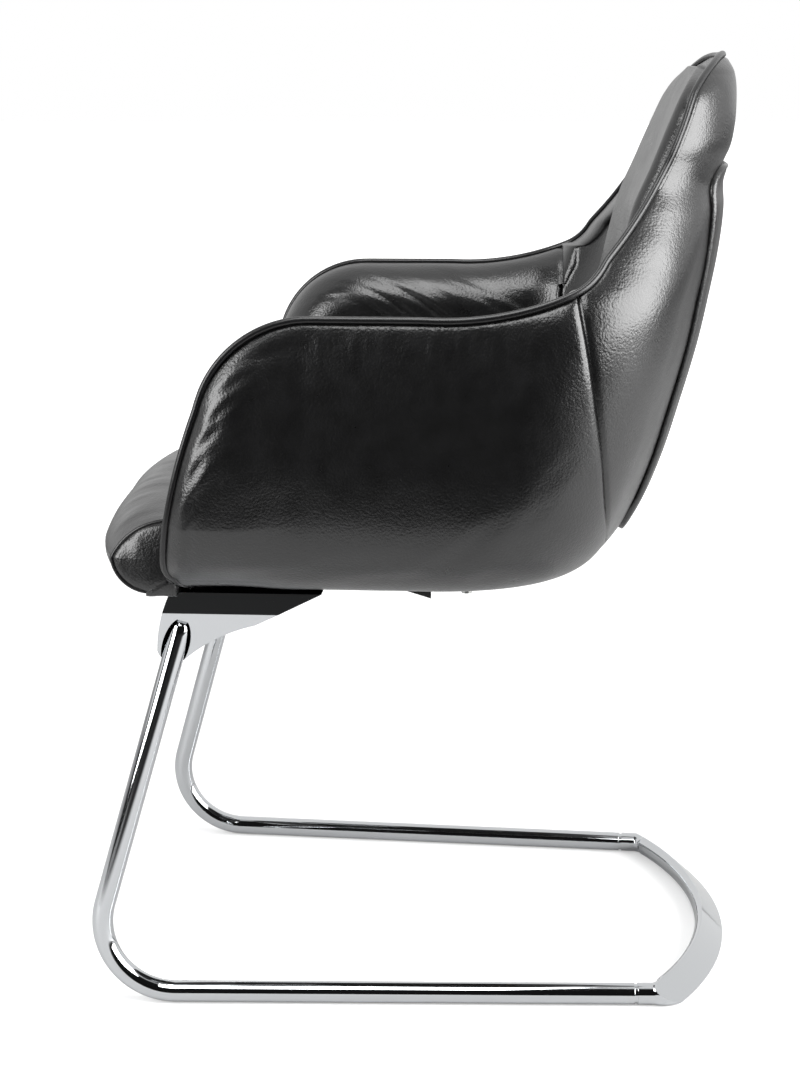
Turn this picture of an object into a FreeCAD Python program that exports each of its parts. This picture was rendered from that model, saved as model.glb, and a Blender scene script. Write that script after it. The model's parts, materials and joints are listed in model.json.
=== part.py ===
import FreeCAD, Part
import math
import os

import Sketcher

# Cantilever lounge chair: an upholstered bucket on a bent steel tube base.
# Units are millimetres. +Z is up, the sitter faces -Y, and +X is the sitter's left.
# The origin is on the floor, under the middle of the chair's bounding box.

# Driving dimensions, each one written once
SIZES = {
    # Side tubes of the base
    "tube_diameter": 20.0,
    "tube_wall": 2.0,
    "corner_half_width": 227.0,
    "corner_setback": 317.4,
    "toe_in_angle": 3.1,
    "upright_angle": 74.0,
    "upright_lean": 3.3,
    "bend_radius": 68.0,
    "runner_length": 525.0,
    "upright_length": 376.0,
    # Joints and rear bow
    "ring_width": 3.0,
    "ring_groove": 1.0,
    "spigot_in_tube": 36.0,
    "spigot_in_bow": 13.0,
    "spigot_clearance": 0.1,
    "bow_turn_radius": 20.0,
    "bow_reach": 305.4,
    "bow_radius": 386.0,
    "bow_height": 22.0,
    "bow_foot_width": 28.0,
    "bow_facet_width": 22.0,
    "bow_lip": 2.0,
    "grub_diameter": 6.0,
    "grub_length": 8.0,
    "grub_sink": 0.6,
    "grub_reach": 14.0,
    "grub_inset": 7.0,
    # Cast brackets and cross beam
    "bracket_half_width": 214.0,
    "bracket_thickness": 32.0,
    "bracket_front": 225.0,
    "bracket_rear": 86.0,
    "bracket_drop": 70.0,
    "bracket_nose": 15.0,
    "bracket_band": 20.0,
    "bracket_tuck": 14.0,
    "recess_depth": 9.0,
    "socket_reach": 80.0,
    "flange_thickness": 8.0,
    "flange_width": 60.0,
    "scoop_width": 25.0,
    "scoop_tilt": 7.0,
    "beam_width": 60.0,
    "beam_thickness": 6.0,
    "beam_setback": 155.0,
    "bolt_inset": 46.0,
    "bolt_diameter": 8.0,
    "bolt_head_diameter": 13.0,
    "bolt_head_height": 5.0,
    "bolt_spacing": 76.0,
    "tee_nut_flange": 20.0,
    "tee_nut_barrel": 10.0,
    "tee_nut_depth": 9.0,
    "tee_nut_flange_depth": 1.5,
    # Seat
    "underside_height": 398.0,
    "dust_cover_thickness": 2.0,
    "board_thickness": 14.0,
    "board_front": 236.0,
    "board_half_width": 250.0,
    "seat_half_width": 236.0,
    "seat_nose": 301.0,
    "seat_nose_sweep": 31.0,
    "seat_edge_height": 466.0,
    "seat_crown": 16.0,
    "seat_rear_drop": 22.0,
    "seat_rear": 158.0,
    "seat_cap_depth": 9.0,
    "seat_welt_diameter": 4.0,
    "seat_welt_gap": 0.3,
    # Upholstered shell
    "shell_half_width": 301.0,
    "arm_height": 656.0,
    "shell_height": 876.0,
    "shell_rear": 288.0,
    "plan_taper": 8.0,
    "section_front": 330.0,
    "corner_radius": 120.0,
    "cavity_corner": 70.0,
    "rear_radius": 700.0,
    "arm_front": 222.0,
    "skin_thickness": 6.0,
    "frame_thickness": 15.0,
    "frame_margin": 16.0,
    "arm_thickness": 57.0,
    "arm_crown": 2.0,
    "back_thickness": 72.0,
    "seam_top": 139.0,
    "seam_foot": 172.0,
    "flank_start": 130.0,
    "inner_seam": 134.0,
    "pad_half_width": 168.0,
    "pad_height": 14.0,
    "pad_edge": 12.0,
    "cover_thickness": 6.0,
    "cover_half_width": 150.0,
    "cover_top": 777.0,
    "cover_bottom": 440.0,
    "piping_diameter": 6.0,
    "piping_proud": 1.8,
    "piping_step": 30.0,
    # Small fittings under the seat
    "plate_length": 42.0,
    "plate_width": 24.0,
    "plate_thickness": 3.0,
    "plate_setback": 44.0,
    "plate_half_spread": 160.0,
    "plate_bolt_diameter": 6.0,
    "plate_bolt_head": 6.0,
    "tag_width": 30.0,
    "tag_drop": 10.0,
    "tag_thickness": 1.0,
    "tag_setback": 3.0,
    "tag_half_spread": 182.0,
}

doc = FreeCAD.newDocument("cantilever_lounge_chair")
sheet = doc.addObject("Spreadsheet::Sheet", "Sizes")
for row, (alias, number) in enumerate(SIZES.items(), start=1):
    sheet.set("A%d" % row, alias)
    sheet.set("B%d" % row, str(number))
    sheet.setAlias("B%d" % row, alias)
doc.recompute()

FAR = 500.0
LEFT = FreeCAD.Vector(1, 0, 0)
UP = FreeCAD.Vector(0, 0, 1)
nodes = []


class Length:
    """A number together with the formula that binds it to the sheet."""

    def __init__(self, number, formula):
        self.number = number
        self.formula = formula

    def __add__(self, other):
        other = as_length(other)
        return Length(self.number + other.number, "(%s + %s)" % (self.formula, other.formula))

    def __sub__(self, other):
        other = as_length(other)
        return Length(self.number - other.number, "(%s - %s)" % (self.formula, other.formula))

    def __mul__(self, factor):
        return Length(self.number * factor, "(%s * %s)" % (self.formula, factor))

    def __truediv__(self, divisor):
        return Length(self.number / divisor, "(%s / %s)" % (self.formula, divisor))

    def __neg__(self):
        return Length(-self.number, "(0 - %s)" % self.formula)


def as_length(value):
    return value if isinstance(value, Length) else Length(float(value), str(float(value)))


def cell(alias):
    """A driving dimension that stays bound to the sheet."""
    return Length(float(sheet.get(alias)), "Sizes.%s" % alias)


def size(alias):
    """A driving dimension as a plain number."""
    return float(sheet.get(alias))


def bind(item, name, length):
    length = as_length(length)
    setattr(item, name, length.number)
    item.setExpression(name, length.formula)


def node(item, label):
    """Gives an object its node name and puts it on the list of pieces."""
    item.Label = label
    nodes.append(item)
    return item


def form(label, shape):
    """A helper or piece whose free form comes straight from geometry."""
    item = doc.addObject("Part::Feature", label)
    item.Shape = shape
    item.Placement = FreeCAD.Placement()
    return item


def joined(kind, name, base, tool):
    item = doc.addObject(kind, name)
    item.Base = base
    item.Tool = tool
    return item


def cut(name, base, tool):
    return joined("Part::Cut", name, base, tool)


def common(name, base, tool):
    return joined("Part::Common", name, base, tool)


def mirrored_pair(item, label):
    """Names a piece on the sitter's left and adds its mirror image on the right."""
    node(item, label + "_left")
    other = doc.addObject("Part::Mirroring", label + "_mirror")
    other.Source = item
    other.Base = FreeCAD.Vector(0, 0, 0)
    other.Normal = LEFT
    node(other, label + "_right")
    return item, other


# Sketches whose corners and curves are bound to the sheet

def plane_of(body, role):
    for feature in body.Origin.OriginFeatures:
        if feature.Role == role:
            return feature


def new_body(name):
    return doc.addObject("PartDesign::Body", name)


def new_sketch(body, name, role, offset=None):
    sketch = body.newObject("Sketcher::SketchObject", name)
    sketch.AttachmentSupport = [(plane_of(body, role), "")]
    sketch.MapMode = "FlatFace"
    if offset is not None:
        offset = as_length(offset)
        sketch.AttachmentOffset = FreeCAD.Placement(
            FreeCAD.Vector(0, 0, offset.number), FreeCAD.Rotation())
        sketch.setExpression("AttachmentOffset.Base.z", offset.formula)
    return sketch


def bind_point(sketch, geometry, point, x, y):
    for kind, length in (("DistanceX", as_length(x)), ("DistanceY", as_length(y))):
        index = sketch.addConstraint(Sketcher.Constraint(kind, geometry, point, length.number))
        sketch.setExpression("Constraints[%d]" % index, length.formula)


def flat(point):
    return FreeCAD.Vector(as_length(point[0]).number, as_length(point[1]).number, 0)


def arc_through(start, middle, end):
    """A sketch arc through three points, always stored anticlockwise."""
    centre = Part.Arc(start, middle, end).toShape().Curve.Center
    radius = (start - centre).Length
    spokes = [point - centre for point in (start, end)]
    first, last = [math.atan2(spoke.y, spoke.x) for spoke in spokes]
    if (middle - start).cross(end - middle).z < 0:
        first, last = last, first
    return Part.ArcOfCircle(Part.Circle(centre, UP, radius), first, last)


def starts_at(sketch, geometry, point):
    """1 if the curve begins at the point and 2 if it ends there."""
    return 1 if sketch.Geometry[geometry].StartPoint.distanceToPoint(point) < 1e-6 else 2


def outline(sketch, corners, bulges=None):
    """A closed outline through the corners. bulges maps a corner's index to the
    point that the arc from this corner to the next one passes through."""
    bulges = bulges or {}
    count = len(corners)
    for index, corner in enumerate(corners):
        following = corners[(index + 1) % count]
        if index not in bulges:
            sketch.addGeometry(Part.LineSegment(flat(corner), flat(following)), False)
            continue
        sketch.addGeometry(arc_through(flat(corner), flat(bulges[index]), flat(following)), False)
    starts = [starts_at(sketch, index, flat(corner)) for index, corner in enumerate(corners)]
    for index, corner in enumerate(corners):
        following = (index + 1) % count
        sketch.addConstraint(Sketcher.Constraint(
            "Coincident", index, 3 - starts[index], following, starts[following]))
        bind_point(sketch, index, starts[index], *corner)
    for index, bulge in bulges.items():
        mark = sketch.addGeometry(Part.Point(flat(bulge)), True)
        bind_point(sketch, mark, 1, *bulge)
        sketch.addConstraint(Sketcher.Constraint("PointOnObject", mark, 1, index))
    return sketch


def circle(sketch, radius, x=0, y=0):
    radius = as_length(radius)
    index = sketch.addGeometry(Part.Circle(flat((x, y)), FreeCAD.Vector(0, 0, 1), radius.number), False)
    bind_point(sketch, index, 3, x, y)
    constraint = sketch.addConstraint(Sketcher.Constraint("Radius", index, radius.number))
    sketch.setExpression("Constraints[%d]" % constraint, radius.formula)
    return sketch


def pad(body, sketch, length, name, midplane=False, reverse=False):
    feature = body.newObject("PartDesign::Pad", name)
    feature.Profile = sketch
    feature.Midplane = midplane
    feature.Reversed = reverse
    bind(feature, "Length", length)
    return feature


def pocket(body, sketch, length, name, midplane=False, reverse=False):
    feature = body.newObject("PartDesign::Pocket", name)
    feature.Profile = sketch
    feature.Midplane = midplane
    feature.Reversed = reverse
    bind(feature, "Length", length)
    return feature


def cylinder(name, radius, height, place=None):
    item = doc.addObject("Part::Cylinder", name)
    bind(item, "Radius", radius)
    bind(item, "Height", height)
    if place is not None:
        item.Placement = place
    return item


# Side tubes: a plane curve that toes in along the floor and leans in as it rises

tube_radius = cell("tube_diameter") / 2


def tube_plane():
    """The plane of the left tube's centre line, x along its runner and y upwards."""
    turn = FreeCAD.Rotation(UP, 90 + size("toe_in_angle"))
    lean = FreeCAD.Rotation(LEFT, 90 - size("upright_lean"))
    corner = FreeCAD.Vector(size("corner_half_width"), -size("corner_setback"), tube_radius.number)
    return FreeCAD.Placement(corner, turn.multiply(lean))


def along_tube(distance, height=0.0):
    return tube_plane().multVec(FreeCAD.Vector(distance, height, 0))


def upright_point(distance):
    """A point of the upright's centre line, measured from the bend's corner."""
    angle = math.radians(size("upright_angle"))
    return along_tube(distance * math.cos(angle), distance * math.sin(angle))


def tube_path(body):
    sketch = new_sketch(body, "tube_path", "XY_Plane")
    radius = size("bend_radius")
    turn = math.radians(180 - size("upright_angle"))
    tangent = radius * math.tan(turn / 2)
    rise = math.radians(size("upright_angle"))
    lift = FreeCAD.Vector(math.cos(rise), math.sin(rise), 0)
    start = FreeCAD.Vector(size("runner_length"), 0, 0)
    low = FreeCAD.Vector(tangent, 0, 0)
    high = lift * tangent
    centre = FreeCAD.Vector(tangent, radius, 0)
    middle = centre - (centre * (radius / centre.Length))
    runner = sketch.addGeometry(Part.LineSegment(start, low), False)
    bend = sketch.addGeometry(arc_through(low, middle, high), False)
    upright = sketch.addGeometry(Part.LineSegment(high, lift * size("upright_length")), False)
    bend_low = starts_at(sketch, bend, low)
    sketch.addConstraint(Sketcher.Constraint("Tangent", runner, 2, bend, bend_low))
    sketch.addConstraint(Sketcher.Constraint("Tangent", bend, 3 - bend_low, upright, 1))
    sketch.addConstraint(Sketcher.Constraint("Horizontal", runner))
    bind_point(sketch, runner, 1, cell("runner_length"), 0)
    sketch.addConstraint(Sketcher.Constraint("PointOnObject", -1, 1, upright))
    for kind, target, alias in (("Radius", (bend,), "bend_radius"),
                                ("Distance", (-1, 1, upright, 2), "upright_length")):
        index = sketch.addConstraint(Sketcher.Constraint(kind, *target, size(alias)))
        sketch.setExpression("Constraints[%d]" % index, cell(alias).formula)
    index = sketch.addConstraint(Sketcher.Constraint("Angle", upright, rise))
    sketch.setExpression("Constraints[%d]" % index, "Sizes.upright_angle * 1 deg")
    return sketch


def side_tube():
    body = new_body("side_tube")
    path = tube_path(body)
    section = new_sketch(body, "tube_section", "YZ_Plane", cell("runner_length"))
    circle(section, tube_radius)
    circle(section, tube_radius - cell("tube_wall"))
    pipe = body.newObject("PartDesign::AdditivePipe", "tube_sweep")
    pipe.Profile = section
    pipe.Spine = (path, ["Edge1", "Edge2", "Edge3"])
    body.Placement = tube_plane()
    return body


def tube_cylinder(name, radius, start, end):
    """A cylinder on the runner's own axis, between two distances from the bend."""
    place = tube_plane().multiply(FreeCAD.Placement(
        FreeCAD.Vector(as_length(start).number, 0, 0),
        FreeCAD.Rotation(FreeCAD.Vector(0, 1, 0), 90)))
    return cylinder(name, radius, end - start, place)


# Joints: a spigot inside, a grooved ring outside, and grub screws from below

runner_end = cell("runner_length")
ring_end = runner_end + cell("ring_width")
bore_radius = tube_radius - cell("tube_wall")
spigot_radius = bore_radius - cell("spigot_clearance")


def grub_place(distance):
    """Under the runner, standing on its lowest line and pointing at its axis."""
    foot = along_tube(distance)
    return FreeCAD.Placement(FreeCAD.Vector(foot.x, foot.y, 0), FreeCAD.Rotation())


def grub_hole(name, distance):
    return cylinder(name, cell("grub_diameter") / 2, cell("grub_sink") + cell("grub_length"),
                    grub_place(distance))


def grub_screws():
    """Four socket grub screws, two at each joint."""
    screws = []
    for distance in (runner_end.number - size("grub_reach"), ring_end.number + size("grub_inset")):
        foot = grub_place(distance).Base
        for side in (1, -1):
            base = FreeCAD.Vector(side * foot.x, foot.y, size("grub_sink"))
            screw = Part.makeCylinder(size("grub_diameter") / 2, size("grub_length"), base)
            socket = hexagon_prism(size("grub_diameter") / 2, size("grub_length") / 3, base)
            screws.append(screw.cut(socket))
    return form("grub_screws", Part.makeCompound(screws))


def hexagon_prism(across_corners, height, base):
    """A prism with six sides, standing on the point given."""
    corners = []
    for step in range(7):
        angle = math.radians(60 * step)
        offset = FreeCAD.Vector(math.cos(angle), math.sin(angle), 0) * (across_corners / 2)
        corners.append(base + offset)
    return Part.Face(Part.makePolygon(corners)).extrude(UP * height)


def side_tubes():
    tube = side_tube()
    hole = grub_hole("tube_grub_hole", runner_end.number - size("grub_reach"))
    mirrored_pair(cut("side_tube_drilled", tube, hole), "side_tube")


def joint_rings():
    collar = tube_cylinder("ring_blank", tube_radius - cell("ring_groove"), runner_end, ring_end)
    bore = tube_cylinder("ring_bore", bore_radius, runner_end, ring_end)
    mirrored_pair(cut("joint_ring", collar, bore), "joint_ring")


def joint_spigots():
    rod = tube_cylinder("spigot_rod", spigot_radius, runner_end - cell("spigot_in_tube"),
                        ring_end + cell("spigot_in_bow"))
    holes = doc.addObject("Part::MultiFuse", "spigot_grub_holes")
    holes.Shapes = [grub_hole("spigot_front_hole", runner_end.number - size("grub_reach")),
                    grub_hole("spigot_rear_hole", ring_end.number + size("grub_inset"))]
    mirrored_pair(cut("joint_spigot", rod, holes), "joint_spigot")


# Rear bow: a bar that turns out of each runner into one long arc, with a flat facet
# cut along its upper outer side

def bow_centre():
    return FreeCAD.Vector(0, size("bow_reach") - size("bow_radius"), 0)


def bow_section(origin, outward, blend):
    """The bar's section before the facet is cut, as lines and corner arcs.
    blend runs from 0, almost the tube's circle, to 1, the bow's broad foot."""
    def mix(first, last):
        return first + (last - first) * blend

    half = mix(tube_radius.number, size("bow_foot_width") / 2)
    height = mix(size("tube_diameter"), size("bow_height"))
    round_inner = mix(tube_radius.number - 0.5, tube_radius.number - 1)
    round_outer = mix(tube_radius.number - 0.5, size("bow_lip"))
    corners = [(half, 0, round_outer, -90), (half, height, round_outer, 0),
               (-half, height, round_inner, 90), (-half, 0, round_inner, 180)]

    def spot(across, up):
        return origin + outward * across + UP * up

    edges = []
    points = []
    for across, up, radius, first in corners:
        centre_across = across - math.copysign(radius, across)
        centre_up = radius if up == 0 else up - radius
        trio = []
        for angle in (first, first + 45, first + 90):
            turn = math.radians(angle)
            trio.append(spot(centre_across + radius * math.cos(turn), centre_up + radius * math.sin(turn)))
        points.append(trio)
    for index, trio in enumerate(points):
        edges.append(Part.Arc(*trio).toShape())
        edges.append(Part.LineSegment(trio[2], points[(index + 1) % 4][0]).toShape())
    return Part.Wire(edges)


def bow_half():
    """One stub, its corner and the left half of the arc."""
    centre = bow_centre()
    middle_radius = size("bow_radius") - size("bow_foot_width") / 2
    turn_radius = size("bow_turn_radius")
    start = along_tube(ring_end.number)
    start.z = 0
    ahead = along_tube(ring_end.number + 1)
    ahead.z = 0
    ahead = (ahead - start).normalize()
    inward = FreeCAD.Vector(-ahead.y, ahead.x, 0)
    offset = start + inward * turn_radius - centre
    reach = middle_radius - turn_radius
    along = -offset.dot(ahead) + math.sqrt(offset.dot(ahead) ** 2 - offset.dot(offset) + reach ** 2)
    turn_centre = start + inward * turn_radius + ahead * along
    radial = (turn_centre - centre).normalize()
    first = math.atan2(-inward.y, -inward.x)
    last = math.atan2(radial.y, radial.x)
    sections = [bow_section(start, inward * -1, 0)]
    steps = 4
    for step in range(steps + 1):
        angle = first + (last - first) * step / steps
        outward = FreeCAD.Vector(math.cos(angle), math.sin(angle), 0)
        sections.append(bow_section(turn_centre + outward * turn_radius, outward, step / steps))
    stub = Part.makeLoft(sections[:2], True, True)
    corner = Part.makeLoft(sections[1:], True, False)
    sweep = 90 - math.degrees(last)
    arc = Part.Face(sections[-1]).revolve(centre, UP, sweep)
    return stub.fuse([corner, arc])


def bow_facet():
    """A ring with a sloping inner side, wide enough to clear the runners."""
    centre = bow_centre()
    rim = size("bow_radius")
    rise = size("bow_height") - size("bow_lip")
    slope = size("bow_facet_width") / rise
    reach = 2 * rise
    profile = [(rim, size("bow_lip")), (rim - reach * slope, size("bow_lip") + reach),
               (rim + reach, size("bow_lip") + reach), (rim + reach, size("bow_lip"))]
    points = [centre + FreeCAD.Vector(radius, 0, height) for radius, height in profile]
    return Part.Face(Part.makePolygon(points + points[:1])).revolve(centre, UP, 180)


def rear_bow():
    half = bow_half()
    whole = half.fuse(half.mirror(FreeCAD.Vector(0, 0, 0), LEFT)).removeSplitter()
    blank = form("bow_blank", whole)
    shaped = cut("bow_shaped", blank, form("bow_facet", bow_facet()))
    tools = []
    for side in ("left", "right"):
        bore = tube_cylinder("bow_bore_" + side, bore_radius, ring_end - 1,
                             ring_end + cell("spigot_in_bow") + 1)
        hole = grub_hole("bow_grub_hole_" + side, ring_end.number + size("grub_inset"))
        for tool in (bore, hole):
            if side == "right":
                other = doc.addObject("Part::Mirroring", tool.Name + "_mirror")
                other.Source = tool
                other.Normal = LEFT
                tool = other
            tools.append(tool)
    holes = doc.addObject("Part::MultiFuse", "bow_holes")
    holes.Shapes = tools
    node(cut("rear_bow_drilled", shaped, holes), "rear_bow")


# Cast brackets: a wedge with a bolting flange, a tucked outer face and a tube socket

underside = cell("underside_height")
bracket_side = cell("bracket_half_width")
front = cell("bracket_front")
rear = cell("bracket_rear")
bolt_line = bracket_side - cell("bolt_inset")
bolt_middle = (front + rear) / 2


def bolt_places():
    """Where the four bracket bolts stand, as bound lengths."""
    for side in (1, -1):
        for way in (1, -1):
            yield bolt_line * side, -bolt_middle + cell("bolt_spacing") * (way / 2)


def bracket_body():
    body = new_body("bracket")
    bottom = underside - cell("bracket_drop")
    nose = front + cell("bracket_nose")
    side = new_sketch(body, "bracket_outline", "YZ_Plane", bracket_side)
    outline(side,
            [(-front, underside), (-nose, bottom + 12), (-front + 11, bottom + 4),
             (-rear - 62, bottom + 39), (-rear, underside)],
            {0: (-front - 10, bottom + 42), 1: (-front - 5, bottom),
             2: (-rear - 96, bottom + 26)})
    pad(body, side, cell("bracket_thickness"), "bracket_wedge", reverse=True)
    shelf = new_sketch(body, "flange_outline", "XY_Plane", underside - cell("flange_thickness"))
    inner = bracket_side - cell("flange_width")
    tail = -rear - 20
    outer = bracket_side - cell("bracket_tuck")
    outline(shelf, [(inner, -front), (outer, -front), (outer, tail), (inner, tail)])
    pad(body, shelf, cell("flange_thickness"), "flange")
    tuck = new_sketch(body, "tuck_outline", "XZ_Plane")
    outline(tuck, [(bracket_side + 1, underside - cell("bracket_band")),
                   (bracket_side + 1, bottom - 2),
                   (bracket_side - cell("bracket_tuck"), bottom - 2),
                   (bracket_side, underside - cell("bracket_band"))])
    pocket(body, tuck, FAR * 2, "tucked_face", midplane=True)
    recess = new_sketch(body, "recess_outline", "YZ_Plane", bracket_side - cell("bracket_thickness"))
    top = underside - cell("flange_thickness") - 2
    outline(recess, [(-front + 22, top), (-front + 22, top - 22), (-rear - 66, top - 14),
                     (-rear - 34, top)])
    pocket(body, recess, cell("recess_depth"), "casting_recess", reverse=True)
    for index, (x, y) in enumerate(bolt_places()):
        if index < 2:
            hole = new_sketch(body, "bolt_hole_%d" % index, "XY_Plane", underside)
            circle(hole, cell("bolt_diameter") / 2, x, y)
            pocket(body, hole, cell("flange_thickness") + 1, "bolt_hole_cut_%d" % index)
    return body


def upright_cylinder(name, radius, start, end, tilt=0.0):
    """A cylinder on the upright's axis, tilted outwards about its upper end."""
    low = upright_point(start)
    high = upright_point(end)
    axis = (low - high).normalize()
    swing = FreeCAD.Rotation(FreeCAD.Vector(0, 1, 0), -tilt)
    axis = swing.multVec(axis)
    place = FreeCAD.Placement(high, FreeCAD.Rotation(UP, axis))
    return cylinder(name, radius, end - start, place)


def brackets():
    end = size("upright_length")
    bore = upright_cylinder("bracket_bore", tube_radius, end - size("socket_reach"), end)
    scoop = upright_cylinder("bracket_scoop", cell("scoop_width") / 2, end - size("socket_reach"),
                             end - 2, size("scoop_tilt"))
    tools = doc.addObject("Part::MultiFuse", "bracket_tools")
    tools.Shapes = [bore, scoop]
    mirrored_pair(cut("bracket_bored", bracket_body(), tools), "bracket")


def cross_beam():
    body = new_body("cross_beam")
    reach = bracket_side - cell("flange_width")
    middle = -cell("beam_setback")
    half = cell("beam_width") / 2
    sketch = new_sketch(body, "beam_outline", "XY_Plane", underside - cell("beam_thickness"))
    outline(sketch, [(-reach, middle - half), (reach, middle - half),
                     (reach, middle + half), (-reach, middle + half)])
    pad(body, sketch, cell("beam_thickness"), "beam")
    return node(body, "cross_beam")


def socket_bolt(base, diameter, length, head_diameter, head_height):
    """A socket head bolt standing head down on the point given."""
    head = Part.makeCylinder(head_diameter / 2, head_height, base)
    shank = Part.makeCylinder(diameter / 2, length, base + UP * head_height)
    socket = hexagon_prism(diameter * 0.85, head_height / 2, base)
    return head.fuse(shank).removeSplitter().cut(socket)


def bracket_bolts():
    bolts = []
    base_height = underside.number - size("flange_thickness") - size("bolt_head_height")
    length = size("flange_thickness") + size("dust_cover_thickness") + size("board_thickness") - 2
    for x, y in bolt_places():
        base = FreeCAD.Vector(x.number, y.number, base_height)
        bolts.append(socket_bolt(base, size("bolt_diameter"), length,
                                 size("bolt_head_diameter"), size("bolt_head_height")))
    return node(form("bracket_bolts", Part.makeCompound(bolts)), "bracket_bolts")


def tee_nuts():
    """Flanged nuts let into the top of the seat board."""
    top = underside.number + size("dust_cover_thickness") + size("board_thickness")
    flange_depth = size("tee_nut_flange_depth")
    nuts = []
    for x, y in bolt_places():
        centre = FreeCAD.Vector(x.number, y.number, top - flange_depth)
        flange = Part.makeCylinder(size("tee_nut_flange") / 2, flange_depth, centre)
        depth = size("tee_nut_depth")
        barrel = Part.makeCylinder(size("tee_nut_barrel") / 2, depth, centre - UP * depth)
        bore = Part.makeCylinder(size("bolt_diameter") / 2, depth + flange_depth, centre - UP * depth)
        nuts.append(flange.fuse(barrel).removeSplitter().cut(bore))
    return node(form("tee_nuts", Part.makeCompound(nuts)), "tee_nuts")


# The shell: level sections of a bucket that widens upwards to the arms, then
# draws in to the top of the back

def shell_stations():
    """Height, half width and rear reach of the outer surface at each level."""
    low = size("underside_height")
    arm = size("arm_height")
    top = size("shell_height")
    wide = size("shell_half_width")
    back = size("shell_rear")
    return [
        (low, wide - 120, back - 183), (low + 5, wide - 92, back - 154),
        (low + 13, wide - 66, back - 130), (low + 26, wide - 45, back - 112),
        (low + 44, wide - 27, back - 97), (low + 72, wide - 13, back - 81),
        (low + 112, wide - 4, back - 65), (low + 162, wide, back - 50),
        (arm - 36, wide, back - 34), (arm + 4, wide - 6, back - 26),
        (arm + 44, wide - 33, back - 19), (arm + 84, wide - 63, back - 15),
        (top - 108, wide - 81, back - 15), (top - 94, wide - 87, back - 10),
        (top - 80, wide - 91, back - 4), (top - 63, wide - 98, back - 1),
        (top - 40, wide - 107, back), (top - 16, wide - 132, back - 2),
        (top - 5, wide - 162, back - 7), (top, wide - 200, back - 11),
    ]


def cavity_stations():
    """Height, half width and rear reach of the space the sitter fills."""
    low = size("underside_height")
    arm = size("arm_height")
    top = size("shell_height")
    wide = size("shell_half_width") - size("arm_thickness")
    back = size("shell_rear") - size("back_thickness")
    return [
        (low, wide - 50, back - 120), (low + 16, wide - 26, back - 90),
        (low + 34, wide - 12, back - 74), (low + 64, wide - 4, back - 64),
        (low + 107, wide - 1, back - 54), (low + 162, wide, back - 41),
        (arm - 36, wide, back - 27), (arm + 4, wide, back - 15),
        (arm + 44, wide - 4, back - 7), (arm + 84, wide - 14, back + 2),
        (top - 103, wide - 24, back + 15), (top - 63, wide - 32, back + 30),
        (top - 38, wide - 40, back + 40), (top + 2, wide - 52, back + 56),
    ]


def level_section(height, half_width, rear_reach, corner, rear_curve):
    """Straight sides, a round corner on each side and a shallow arc across the rear."""
    corner = min(corner, 0.7 * half_width)
    centre_y = rear_reach - rear_curve
    turn_x = half_width - corner
    turn_y = centre_y + math.sqrt((rear_curve - corner) ** 2 - turn_x ** 2)
    lean = math.atan2(turn_y - centre_y, turn_x)
    narrow = half_width - size("plan_taper")

    def on_corner(side, angle):
        return FreeCAD.Vector(side * (turn_x + corner * math.cos(angle)),
                              turn_y + corner * math.sin(angle), height)

    def at_front(side):
        return FreeCAD.Vector(side * narrow, -size("section_front"), height)

    return Part.Wire([
        Part.LineSegment(at_front(-1), at_front(1)).toShape(),
        Part.LineSegment(at_front(1), on_corner(1, 0)).toShape(),
        Part.Arc(on_corner(1, 0), on_corner(1, lean / 2), on_corner(1, lean)).toShape(),
        Part.Arc(on_corner(1, lean), FreeCAD.Vector(0, rear_reach, height),
                 on_corner(-1, lean)).toShape(),
        Part.Arc(on_corner(-1, lean), on_corner(-1, lean / 2), on_corner(-1, 0)).toShape(),
        Part.LineSegment(on_corner(-1, 0), at_front(-1)).toShape(),
    ])


def shell_solid(inset):
    """The bucket drawn in by a distance, as a closed solid."""
    middle = (size("underside_height") + size("shell_height")) / 2
    sections = []
    for height, half_width, rear_reach in shell_stations():
        drop = inset if height > middle + 150 else 0
        sections.append(level_section(height - drop, half_width - inset, rear_reach - inset,
                                      size("corner_radius") - inset, size("rear_radius") - inset))
    return Part.makeLoft(sections, True, True)


def cavity_solid():
    sections = [level_section(*station, size("cavity_corner"), size("rear_radius"))
                for station in cavity_stations()]
    return Part.makeLoft(sections, True, True)


def side_curve(outset):
    """The edge of the shell seen from the side, from the arm's foot to the top,
    as points y, z with the middle point of every arc."""
    low = size("underside_height")
    arm = size("arm_height") + outset
    top = size("shell_height")
    face = -size("arm_front") - outset
    return [
        ("start", (face + 17, low)),
        ("line", (face, low + 29)),
        ("arc", (face + 15, low + 107), (face + 39, arm - 76)),
        ("arc", (face + 71, arm - 24), (face + 132, arm)),
        ("line", (10, arm)),
        ("arc", (82, arm + 5), (135 - outset / 2, arm + 21)),
        ("arc", (151 - outset, arm + 31), (163 - outset, arm + 48)),
        ("arc", (203 - outset, top - 118), (238 - outset, top - 37)),
        ("arc", (253 - outset, top - 15), (279 - outset, top + 6)),
    ]


def side_edges(outset):
    edges = []
    here = None
    for kind, *points in side_curve(outset):
        spots = [FreeCAD.Vector(0, y, z) for y, z in points]
        if kind == "line":
            edges.append(Part.LineSegment(here, spots[0]).toShape())
        if kind == "arc":
            edges.append(Part.Arc(here, spots[0], spots[1]).toShape())
        here = spots[-1]
    return edges


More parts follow.
